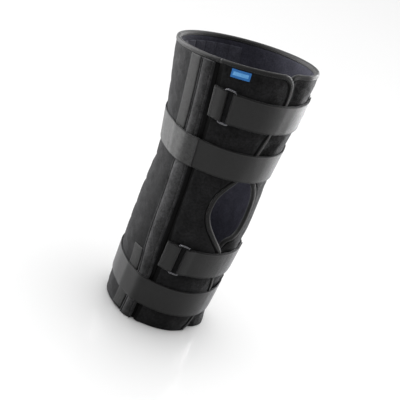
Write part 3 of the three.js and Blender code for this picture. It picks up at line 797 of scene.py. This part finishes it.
def swell(piece, free):
    """A short cloth simulation: air pressure and a little excess cloth lift the skin off its seams."""
    held = piece.vertex_groups.new(name="held")
    steps = np.round((1 - free) * HOLD_STEPS).astype(int)
    for step in np.unique(steps):
        held.add([int(i) for i in np.nonzero(steps == step)[0]], step / HOLD_STEPS, "REPLACE")
    cloth = piece.modifiers.new("swell", "CLOTH")
    settings = cloth.settings
    settings.quality = 5
    settings.mass = 0.2
    settings.tension_stiffness = settings.compression_stiffness = 12
    settings.shear_stiffness = 4
    settings.bending_stiffness = 0.6
    settings.shrink_min = settings.shrink_max = -SKIN_EXCESS
    settings.use_pressure = True
    settings.uniform_pressure_force = 4
    settings.vertex_group_mass = held.name
    settings.effector_weights.gravity = 0
    cloth.collision_settings.use_collision = False
    cloth.point_cache.frame_start, cloth.point_cache.frame_end = 1, SWELL_FRAMES
    scene = bpy.context.scene
    for frame_number in range(1, SWELL_FRAMES + 1):
        scene.frame_set(frame_number)
    start = np.empty(3 * len(piece.data.vertices))
    piece.data.vertices.foreach_get("co", start)
    swollen = piece.evaluated_get(bpy.context.evaluated_depsgraph_get())
    end = np.empty_like(start)
    swollen.data.vertices.foreach_get("co", end)
    piece.modifiers.remove(cloth)
    piece.vertex_groups.remove(held)
    scene.frame_set(1)
    move = (end - start).reshape(-1, 3)
    size = np.linalg.norm(move, axis=1, keepdims=True) + 1e-9
    move = move / size * SWELL_CAP * np.tanh(size / SWELL_CAP)
    piece.data.vertices.foreach_set("co", start + move.ravel())
    piece.data.update()


# Materials. Patterns read object coordinates or the cloth's own lengths, both in metres.
PATCH = 22.2 * MM  # cloudy patches of a brushed pile
WEAR = 6.25 * MM  # worn patches of a woven band
HANDLING_MARK = 2.38 * MM  # fine scratches on the wire
# Painted shade at a strap's edges: the share of its colour left where it turns over
EDGE_SHADE_TONE = 0.25
SELVEDGE_ROUGHNESS = 0.95


def colour(hex_code):
    """sRGB hex to the linear RGBA that shaders take."""
    parts = [int(hex_code[i:i + 2], 16) / 255 for i in (0, 2, 4)]
    return [c / 12.92 if c <= 0.04045 else ((c + 0.055) / 1.055) ** 2.4 for c in parts] + [1]


def add(tree, kind, inputs=None, **settings):
    """Adds a node. inputs maps a socket's name or number to a value or to another node's socket."""
    made = tree.nodes.new(kind)
    for key, value in settings.items():
        setattr(made, key, value)
    for key, value in (inputs or {}).items():
        socket = made.inputs[key]
        if isinstance(value, bpy.types.NodeSocket):
            tree.links.new(value, socket)
        else:
            socket.default_value = value
    return made


def blank(name):
    material = bpy.data.materials.new(name)
    material.use_nodes = True
    material.node_tree.nodes.clear()
    return material, material.node_tree


def finish(tree, shader):
    """Joins a material's shader to its output."""
    add(tree, "ShaderNodeOutputMaterial", {"Surface": shader.outputs[0]})


def two_tones(tree, factor, dark, light):
    """Colour between two hex tones, by a factor from 0 to 1."""
    ramp = add(tree, "ShaderNodeValToRGB", {"Fac": factor})
    ramp.color_ramp.elements[0].color = colour(dark)
    ramp.color_ramp.elements[1].color = colour(light)
    return ramp.outputs["Color"]


def brushed_loop(name, dark, light, tint, pile, sheen):
    """Nylon loop pile brushed over foam: matt, with a pale bloom where it is seen edge on."""
    material, tree = blank(name)
    place = add(tree, "ShaderNodeTexCoord").outputs["Object"]
    tufts = add(tree, "ShaderNodeTexNoise", {
        "Vector": place, "Scale": 0.5 / pile, "Detail": 5.0, "Roughness": 0.8,
    })
    nap = add(tree, "ShaderNodeTexNoise", {
        "Vector": place, "Scale": 1 / PATCH, "Detail": 4.0, "Roughness": 0.65,
    })
    faint = add(tree, "ShaderNodeMapRange", {"Value": nap.outputs["Fac"], "To Min": 0.15, "To Max": 0.85})
    both = add(tree, "ShaderNodeMath", {0: tufts.outputs["Fac"], 1: faint.outputs[0]}, operation="MULTIPLY")
    spread = add(tree, "ShaderNodeMapRange", {"Value": both.outputs[0], "From Min": 0.14, "From Max": 0.38})
    base = two_tones(tree, spread.outputs["Result"], dark, light)
    bump = add(tree, "ShaderNodeBump", {"Height": both.outputs[0], "Strength": 0.8, "Distance": 0.002})
    shader = add(tree, "ShaderNodeBsdfPrincipled", {
        "Base Color": base, "Roughness": 0.85, "Specular IOR Level": 0.12, "Normal": bump.outputs["Normal"],
        "Sheen Weight": sheen, "Sheen Roughness": 0.38, "Sheen Tint": colour(tint),
    })
    finish(tree, shader)
    return material


def edge_painted_shade(tree, cloth):
    """Painted shade: 1 on the body of a strap, falling to the edge tone where it turns over at its two
    edges, darkening the colour there.
    """
    across = add(tree, "ShaderNodeSeparateXYZ", {0: cloth}).outputs["X"]
    other = add(tree, "ShaderNodeMath", {0: STRAP_WIDTH, 1: across}, operation="SUBTRACT").outputs[0]
    inwards = add(tree, "ShaderNodeMath", {0: across, 1: other}, operation="MINIMUM").outputs[0]
    return add(tree, "ShaderNodeMapRange", {
        "Value": inwards, "From Min": 0.6 * MM, "From Max": 1.7 * MM,
        "To Min": EDGE_SHADE_TONE, "To Max": 1.0,
    }).outputs[0]


def woven(name, dark, light, thread, sheen, roughness, slant=0.0, gloss=0.3, with_edge_shade=False):
    """Flat woven band: ribs across its width and threads along it, a thread's width apart."""
    material, tree = blank(name)
    cloth = add(tree, "ShaderNodeUVMap", uv_map="cloth").outputs["UV"]
    turned = add(tree, "ShaderNodeMapping", {"Vector": cloth, "Rotation": (0, 0, slant)}).outputs[0]
    ribs, threads = (
        add(tree, "ShaderNodeTexWave", {
            "Vector": turned, "Scale": 1 / thread / per_thread, "Distortion": bend, "Detail": 1.0,
        }, bands_direction=direction, wave_profile="SIN").outputs["Fac"]
        for per_thread, bend, direction in ((3.2, 0.6, "Y"), (2.2, 0.4, "X"))
    )
    weave = add(tree, "ShaderNodeMath", {0: ribs, 1: threads}, operation="MULTIPLY")
    worn = add(tree, "ShaderNodeTexNoise", {
        "Vector": cloth, "Scale": 1 / WEAR, "Detail": 5.0, "Roughness": 0.8,
    })
    patchy = add(tree, "ShaderNodeMapRange", {
        "Value": worn.outputs["Fac"], "From Min": 0.3, "From Max": 0.7,
    })
    tone = add(tree, "ShaderNodeMath", {0: weave.outputs[0], 1: patchy.outputs[0]}, operation="MULTIPLY")
    spread = add(tree, "ShaderNodeMapRange", {"Value": tone.outputs[0], "From Min": 0.02, "From Max": 0.4})
    level = spread.outputs["Result"]
    # Painted shade: the colour darkens towards a strap's two edges, and the roughness rises there.
    if with_edge_shade:
        shade = edge_painted_shade(tree, cloth)
        level = add(tree, "ShaderNodeMath", {0: level, 1: shade}, operation="MULTIPLY").outputs[0]
        roughness = add(tree, "ShaderNodeMapRange", {
            "Value": shade, "From Min": EDGE_SHADE_TONE, "From Max": 1.0,
            "To Min": SELVEDGE_ROUGHNESS, "To Max": roughness,
        }).outputs[0]
    base = two_tones(tree, level, dark, light)
    bump = add(tree, "ShaderNodeBump", {"Height": weave.outputs[0], "Strength": 0.4, "Distance": 0.0003})
    shader = add(tree, "ShaderNodeBsdfPrincipled", {
        "Base Color": base, "Roughness": roughness, "Normal": bump.outputs["Normal"],
        "Specular IOR Level": gloss, "Sheen Weight": sheen,
        "Sheen Roughness": 0.32, "Sheen Tint": colour("e8e8ee"),
    })
    finish(tree, shader)
    return material


def plated_wire(name):
    """Smooth plated metal whose roughness varies with fine handling marks."""
    material, tree = blank(name)
    place = add(tree, "ShaderNodeTexCoord").outputs["Object"]
    marks = add(tree, "ShaderNodeTexNoise", {"Vector": place, "Scale": 1 / HANDLING_MARK, "Detail": 3.0})
    rough = add(tree, "ShaderNodeMapRange", {"Value": marks.outputs["Fac"], "To Min": 0.16, "To Max": 0.34})
    shader = add(tree, "ShaderNodeBsdfPrincipled", {
        "Base Color": colour("626265"), "Metallic": 1.0, "Roughness": rough.outputs["Result"],
    })
    finish(tree, shader)
    return material


# Tufts and threads of the real cloths are about a third of the sizes here. That is too fine to show
# in the photo's frame, so both are drawn coarser.
LOOP_PILE = 1.6 * MM
KNIT_PILE = 1.2 * MM
COOL_GREY = "c8c8cf"

# Loops brushed open: a soft, matt black with cloudy patches and a faint pale bloom seen edge on.
LOOP_FABRIC = brushed_loop("brushed nylon loop", "040404", "232324", COOL_GREY, LOOP_PILE, 0.08)
# The same cloth on the back panel, flatter and a shade darker, as painted shade where the light only grazes
# it.
BACK_FABRIC_SHADED = brushed_loop("brushed nylon loop, back, painted shade", "030303", "1e1e1f", COOL_GREY, LOOP_PILE, 0.06)
# The same cloth drawn tight over the stays, painted a lighter grey with a clear grain, as light caught on
# the raised sleeves.
SLEEVE_FABRIC_LIT = brushed_loop("brushed nylon loop, sleeves, painted light", "121212", "404041", COOL_GREY, LOOP_PILE, 0.12)
# Fine knit brushed inside: a soft blue-black without any shine.
LINING = brushed_loop("brushed knit lining", "18181f", "303039", "b9b9d0", KNIT_PILE, 0.1)
# The same knit stretched over the stays inside: slightly lighter bands, as painted light on the raised
# pockets.
POCKET_LINING_LIT = brushed_loop("brushed knit lining, pockets, painted light", "202026", "3c3c44", "c4c4d0", KNIT_PILE, 0.12)
# Painted shade in the grooves and along the panels' bound edges: the loop cloth made almost black, without
# bloom.
GROOVE_SHADE = brushed_loop("painted groove shade", "030303", "090909", "606060", KNIT_PILE, 0.02)
# Tightly woven band: charcoal with a low satin shine, with painted shade where it turns over at its edges.
WEBBING = woven("polyester webbing", "020202", "181818", 1.3 * MM, 0.2, 0.52, with_edge_shade=True, gloss=0.38)
# Twill tape folded round the edge: dull charcoal, with ribs that run aslant.
TAPE = woven("polyester binding tape", "050505", "161617", 0.9 * MM, 0.06, 0.7, slant=0.7)
# Short stiff hooks in close rows: a dull mid grey with a fine grain.
HOOK_STRIP = woven("moulded hook tape", "0c0c0c", "343434", 1.1 * MM, 0.08, 0.6)
# The same hooks under a lapped end, worn: the lightest cloth of the splint, and the dullest, with painted
# shade at its edges.
HOOK_END = woven("moulded hook tape, lapped end", "262626", "505050", 1.1 * MM, 0.02, 0.7, with_edge_shade=True)
# Fine damask: a smooth sky blue with a little silk shine.
TAG = woven("damask woven tag", "4f8fc8", "7ab4e4", 0.6 * MM, 0.1, 0.5)
# The tag's folded border: the same shine in a deeper blue.
TAG_BORDER = woven("damask woven tag border", "1c5c9c", "2f78bc", 0.6 * MM, 0.1, 0.5)
# Bonded sewing thread: grey dashes a little lighter than the cloth that they sink into.
THREAD = woven("bonded nylon thread", "2c2c2c", "4a4a4a", 0.5 * MM, 0.05, 0.45)
# Nickel plate on bent wire: a bright grey line with fine scratches from handling.
WIRE = plated_wire("nickel-plated steel wire")


# Stitches
def stitch_tree():
    """Geometry Nodes: rows of thread stitches along the piece's edges, as capsules of plain mesh."""
    tree = bpy.data.node_groups.new("stitches", "GeometryNodeTree")
    tree.interface.new_socket("Lines", in_out="INPUT", socket_type="NodeSocketGeometry")
    for label, value in (
        ("Pitch", STITCH_PITCH),
        ("Stitch Length", STITCH_SHARE * STITCH_PITCH),
        ("Thread Radius", THREAD_RADIUS),
    ):
        tree.interface.new_socket(label, in_out="INPUT", socket_type="NodeSocketFloat").default_value = value
    tree.interface.new_socket("Thread", in_out="INPUT", socket_type="NodeSocketMaterial")
    tree.interface.new_socket("Stitches", in_out="OUTPUT", socket_type="NodeSocketGeometry")
    given = add(tree, "NodeGroupInput").outputs
    curve = add(tree, "GeometryNodeMeshToCurve", {"Mesh": given["Lines"]}).outputs[0]
    marks = add(tree, "GeometryNodeCurveToPoints", {"Curve": curve, "Length": given["Pitch"]}, mode="LENGTH")
    half = add(tree, "ShaderNodeMath", {0: given["Stitch Length"], 1: 0.5}, operation="MULTIPLY").outputs[0]
    size = add(tree, "ShaderNodeCombineXYZ", {0: given["Thread Radius"], 1: given["Thread Radius"], 2: half})
    capsule = add(tree, "GeometryNodeMeshUVSphere", {"Segments": 6, "Rings": 5, "Radius": 1.0})
    placed = add(tree, "GeometryNodeInstanceOnPoints", {
        "Points": marks.outputs["Points"], "Instance": capsule.outputs["Mesh"],
        "Rotation": marks.outputs["Rotation"], "Scale": size.outputs[0],
    })
    real = add(tree, "GeometryNodeRealizeInstances", {"Geometry": placed.outputs[0]}).outputs[0]
    smooth = add(tree, "GeometryNodeSetShadeSmooth", {"Geometry": real}).outputs[0]
    sewn = add(tree, "GeometryNodeSetMaterial", {"Geometry": smooth, "Material": given["Thread"]})
    add(tree, "NodeGroupOutput", {"Stitches": sewn.outputs[0]})
    return tree


def sew(piece, lines, thread, pitch=STITCH_PITCH):
    """Sews stitches along lines of points onto a piece and joins them to its mesh."""
    points = np.concatenate(lines)
    edges, start = [], 0
    for line in lines:
        edges += [(start + i, start + i + 1) for i in range(len(line) - 1)]
        start += len(line)
    mesh = bpy.data.meshes.new("seam_lines")
    mesh.from_pydata([tuple(p) for p in points], edges, [])
    guide = bpy.data.objects.new("seam_lines", mesh)
    bpy.context.scene.collection.objects.link(guide)
    modifier = guide.modifiers.new("stitches", "NODES")
    modifier.node_group = STITCH_TREE
    items = STITCH_TREE.interface.items_tree
    sockets = {item.name: item.identifier for item in items if item.in_out == "INPUT"}
    modifier[sockets["Pitch"]] = pitch
    modifier[sockets["Stitch Length"]] = STITCH_SHARE * pitch
    modifier[sockets["Thread"]] = thread
    guide.update_tag()
    bpy.context.view_layer.update()
    drawn = guide.evaluated_get(bpy.context.evaluated_depsgraph_get())
    stitches = bpy.data.objects.new("stitches", bpy.data.meshes.new_from_object(drawn))
    stitches.data.materials.clear()
    stitches.data.materials.append(thread)
    stitches.data.polygons.foreach_set("material_index", np.zeros(len(stitches.data.polygons), int))
    bpy.context.scene.collection.objects.link(stitches)
    bpy.data.objects.remove(guide)
    joined = [piece, stitches]
    with bpy.context.temp_override(active_object=piece, object=piece, selected_editable_objects=joined):
        bpy.ops.object.join()


# Dressing and building
def dress(piece, material, slot, *nodes):
    """Gives a piece its material, rides it on the root body and hides the CAD nodes that it replaces."""
    piece.data.materials.append(material)
    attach(piece, "root")
    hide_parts(*nodes)
    return piece


def paint_edge_shade(piece, columns, outer_columns, material):
    """Paints shade on the first and last columns of a padded sheet's outer face, by giving them another
    material.
    """
    polygons = piece.data.polygons
    index = np.empty(len(polygons), int)
    polygons.foreach_get("material_index", index)
    walls = np.arange(len(polygons) // columns * columns)
    column = walls % columns
    beside = (column < outer_columns) | (np.abs(column - columns // 2 + 1) < outer_columns)
    index[walls[beside]] = len(piece.data.materials)
    piece.data.materials.append(material)
    polygons.foreach_set("material_index", index)


def line_inside(piece, columns, material):
    """Gives the inner half of a padded sheet's rings another material."""
    polygons = piece.data.polygons
    index = np.zeros(len(polygons), int)
    walls = np.arange(len(polygons) // columns * columns)
    index[walls] = walls % columns > columns // 2
    piece.data.materials.append(material)
    polygons.foreach_set("material_index", index)


def ring_strap(name, spec):
    """Strap folded back through a wire ring, and the sewn tab that holds the ring."""
    band, number, ring_turn = Band(**spec), name[-1], spec["ring_turn"]
    reach = band.per * RING_REACH / 2
    path = folded_path(band, ring_turn + reach, -1, STRAP_END, STRAP_ROOT)
    dress(ribbon("webbing_" + number, band, path, SEEDS["ring_strap"]), WEBBING, "webbing", name)
    middle = spec["top"] * LENGTH - STRAP_WIDTH / 2
    root = -float(side_line("groove", middle)) + TAB_START
    path = folded_path(band, ring_turn - reach, 1, root, root)
    tab = ribbon("ring_tab_" + number, band, path, SEEDS["tab"])
    dress(tab, WEBBING, "webbing", "tab_" + number)
    near, far = root + TAB_HEM * band.per, ring_turn - reach - TAB_FOLD * band.per
    sew(tab, box_seam(band, near, far, 2 * STRAP_THICKNESS + GAP), THREAD, BOX_PITCH)
    dress(wire_ring("wire_ring_" + number, band, ring_turn), WIRE, "wire", "ring_" + number)


def round_strap(name, spec):
    """Strap all the way round: the band, and its outer end lapped over it at the side and hemmed."""
    band, number, side = Band(**spec), name[-1], spec["side"]
    half = STRAP_THICKNESS / 2
    turns = np.linspace(-side * LAP_BACK, side * (360 - LAP_SEAM), 200)
    inner = ribbon("webbing_" + number, band, [(t, half) for t in turns], SEEDS["round_strap"])
    dress(inner, WEBBING, "webbing", name)
    seam = LAP_SEAM - float(to_turn(GAP, spec["top"] * LENGTH))
    turns = np.linspace(-side * LAP_FRONT, -side * seam, 90)
    over = STRAP_THICKNESS + GAP
    lifts = over * (1 - ease((np.abs(turns) - LAP_BACK - 1) / LAP_STEP))
    end = ribbon("lapped_end_" + number, band, list(zip(turns, lifts + half)), SEEDS["lapped_end"])
    cloth, slot = (HOOK_END, "light_strip") if name == "strap_2" else (WEBBING, "webbing")
    dress(end, cloth, slot, name + "_end")
    hem = -side * (LAP_FRONT + HEM_ROW * band.per)
    ends = (hem, HEM_ROW), (hem, STRAP_WIDTH - HEM_ROW)
    sew(end, [seam_line(band, *ends, over + STRAP_THICKNESS)], THREAD)


def towards(azimuth, elevation):
    """Unit vector at an azimuth, 0 at the front and positive towards +X, and an elevation in degrees."""
    a, e = math.radians(azimuth), math.radians(elevation)
    return Vector((math.sin(a) * math.cos(e), -math.cos(a) * math.cos(e), math.sin(e)))


# Camera solved from the photo: where it stands, how far it looks down and aside, and its roll.
CAMERA_AZIMUTH = -44
CAMERA_ELEVATION = 24.2
CAMERA_DISTANCE = 1.831
CAMERA_YAW = 0.64
CAMERA_PITCH = 25.02
CAMERA_ROLL = 23.32
CAMERA_LENS = 114.69
SENSOR_WIDTH = 36


def camera_place():
    middle = Vector((AXIS_X, AXIS_Y, LENGTH / 2))
    look = -towards(CAMERA_AZIMUTH - CAMERA_YAW, CAMERA_PITCH)
    level_right = look.cross(Vector((0, 0, 1))).normalized()
    level_up = level_right.cross(look)
    roll_angle = math.radians(CAMERA_ROLL)
    right = level_right * math.cos(roll_angle) + level_up * math.sin(roll_angle)
    over = -level_right * math.sin(roll_angle) + level_up * math.cos(roll_angle)
    turn = Matrix((right, over, -look)).transposed().to_4x4()
    turn.translation = middle + towards(CAMERA_AZIMUTH, CAMERA_ELEVATION) * CAMERA_DISTANCE
    return turn


STITCH_TREE = stitch_tree()

camera = bpy.data.objects.new("camera", bpy.data.cameras.new("camera"))
bpy.context.scene.collection.objects.link(camera)
camera.matrix_world = camera_place()
camera.data.lens = CAMERA_LENS
camera.data.sensor_width = SENSOR_WIDTH
bpy.context.scene.camera = camera

front_left = front_panel("left_front", LEFT_EDGE, -1)
dress(front_left, LOOP_FABRIC, "loop_fabric", "left_front_panel")
front_right = front_panel("right_front", RIGHT_EDGE, 1)
dress(front_right, LOOP_FABRIC, "loop_fabric", "right_front_panel")
back = back_panel("back")
dress(back, BACK_FABRIC_SHADED, "loop_fabric", "back_panel")
for panel in (front_left, front_right, back):
    swell(panel, free_share(panel.name))
    columns = SHEETS[panel.name][1]
    line_inside(panel, columns, LINING)
    # The panels' edge columns get painted shade, standing in for the shadow in the grooves and beside the
    # bindings.
    paint_edge_shade(panel, columns, SHADE_COLUMNS, GROOVE_SHADE)

left_path, _ = border_path(LEFT_EDGE, -1, 2 * MM)
right_path, _ = border_path(RIGHT_EDGE, 1, 2 * MM)
rim_edge = float(back_edge(LENGTH))
back_path = np.array([(t, LENGTH) for t in np.linspace(rim_edge, 360 - rim_edge, 180)])
for name, node, path, side, level in (
    ("left_edge_tape", "left_binding", left_path, -1, no_dip),
    ("right_edge_tape", "right_binding", right_path, 1, soft_lap),
    ("back_rim_tape", "back_binding", back_path, -1, no_dip),
):
    tape, seam, base = binding(name, path, side, level)
    seam = seam[seam[:, 1] > 1 * MM]
    base = base[:len(seam)]
    outs = (base + BINDING_PROUD - STITCH_SINK, base - WALL - BINDING_PROUD + STITCH_SINK)
    lines = [on_tube(seam[:, 0], seam[:, 1], out) for out in outs]
    dress(tape, TAPE, "binding_tape", node)
    sew(tape, lines, THREAD)

for word, side in (("left", -1), ("right", 1)):
    sleeve = stay_sleeve(word + "_sleeve", side)
    dress(sleeve, SLEEVE_FABRIC_LIT, "loop_fabric", word + "_stay_sleeve")
    heights = np.linspace(LENGTH - BINDING_WIDTH - 3 * MM, 3 * MM, 120)
    inset = to_turn(4.6 * PIPING_WIDTH, heights)
    width = side_line("far", heights) - side_line("near", heights)
    level = sleeve_out(inset / width) - 1.1 * MM
    rows = (side_line("near", heights) + inset, side_line("far", heights) - inset)
    sew(sleeve, [on_tube(side * row, heights, level) for row in rows], THREAD)
    for place, (low, high) in STRIPS.items():
        strip = fastening_strip(f"{word}_{place}_hook_strip", low, high, side)
        dress(strip, HOOK_STRIP, "light_strip", f"{word}_{place}_strip")
        top = min(high * LENGTH, LENGTH - BINDING_WIDTH - GAP)
        heights = np.linspace(top - STRIP_ROW, low * LENGTH + STRIP_ROW, 60)
        insets = (STRIP_ROW, STRIP_WIDTH - STRIP_ROW)
        edges = [strip_edge(heights) + to_turn(inset, heights) for inset in insets]
        box = [(edges[0], heights), (edges[1], heights)]
        box += [(np.linspace(edges[0][i], edges[1][i], 8), np.full(8, heights[i])) for i in (0, -1)]
        sew(strip, [on_tube(side * t, h, SEAT + STRIP_THICKNESS) for t, h in box], THREAD)

for number in range(POCKET_COUNT):
    pocket = back_pocket(f"stay_pocket_{number + 1}", number)
    dress(pocket, POCKET_LINING_LIT, "lining", f"back_pocket_{number + 1}")

for name, spec in STRAPS.items():
    if "ring_turn" in spec:
        ring_strap(name, spec)
    else:
        round_strap(name, spec)

tag = dress(label_piece("plain_tag"), TAG, "blue_tag", "label")
border_faces(tag, TAG_BORDER_WIDTH, TAG_BORDER)


# Studio: a pale floor, white surroundings and two large soft lights that graze the sides.
FLOOR_REACH = 6
floor_mesh = bpy.data.meshes.new("floor")
corners = [(x * FLOOR_REACH, y * FLOOR_REACH, 0) for x, y in ((-1, -1), (1, -1), (1, 1), (-1, 1))]
floor_mesh.from_pydata(corners, [], [(0, 1, 2, 3)])
floor = bpy.data.objects.new("floor", floor_mesh)
bpy.context.scene.collection.objects.link(floor)
# Coated paper: an even, dull white with a weak blurred reflection of what stands on it.
floor_material, floor_tree = blank("coated white paper")
finish(floor_tree, add(floor_tree, "ShaderNodeBsdfPrincipled", {
    "Base Color": colour("f7f7f7"), "Roughness": 0.6, "Coat Weight": 1.0, "Coat Roughness": 0.15,
}))
floor_mesh.materials.append(floor_material)
floor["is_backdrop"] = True

world = bpy.data.worlds.new("studio")
bpy.context.scene.world = world
world.use_nodes = True
world.node_tree.nodes.clear()
WHITE = (1, 1, 1, 1)
SURROUND = 0.29  # light from all round
BACKDROP = 0.645  # what is seen above the far end of the floor, as bright as the floor there
around = add(world.node_tree, "ShaderNodeBackground", {"Color": WHITE, "Strength": SURROUND})
backdrop = add(world.node_tree, "ShaderNodeBackground", {"Color": WHITE, "Strength": BACKDROP})
seen = add(world.node_tree, "ShaderNodeLightPath").outputs["Is Camera Ray"]
mixed = add(world.node_tree, "ShaderNodeMixShader", {0: seen, 1: around.outputs[0], 2: backdrop.outputs[0]})
add(world.node_tree, "ShaderNodeOutputWorld", {"Surface": mixed.outputs[0]})


def lamp(name, kind, azimuth, elevation, distance, power):
    """Lamp that points at the middle of the splint from an azimuth and elevation."""
    data = bpy.data.lights.new(name, kind)
    data.energy = power
    made = bpy.data.objects.new(name, data)
    bpy.context.scene.collection.objects.link(made)
    way = towards(azimuth, elevation)
    made.location = Vector((0, 0, LENGTH / 2)) + way * distance
    made.rotation_euler = way.to_track_quat("Z", "Y").to_euler()
    return made


# Broad light from above and behind keeps the floor an even white.
overhead = lamp("overhead", "SUN", 136, 78, 0, 3.3)
overhead.data.angle = math.radians(70)
lit = bpy.data.collections.new("lit_by_softboxes")
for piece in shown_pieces():
    lit.objects.link(piece)
# Name, azimuth, elevation, distance, power, width and height of each soft light
for name, azimuth, elevation, distance, power, width, height in (
    ("left_softbox", -152, 8, 1.6, 150, 1.0, 1.6),
    ("right_softbox", 92, 6, 1.6, 147, 1.5, 1.5),
    ("fill", -75, 38, 1.8, 10, 0.6, 0.6),
):
    softbox = lamp(name, "AREA", azimuth, elevation, distance, power)
    softbox.data.shape = "RECTANGLE"
    softbox.data.size, softbox.data.size_y = width, height
    softbox.light_linking.receiver_collection = lit
    softbox.visible_camera = False
# A weak glow inside the bore, as the pale room gives there
GLOW_PLACE = (0, -0.02, 0.2)
glow = lamp("bore_glow", "POINT", 0, 0, 0, 0.22)
glow.data.shadow_soft_size = 0.03
glow.location = GLOW_PLACE

bpy.context.scene.view_settings.view_transform = "Standard"
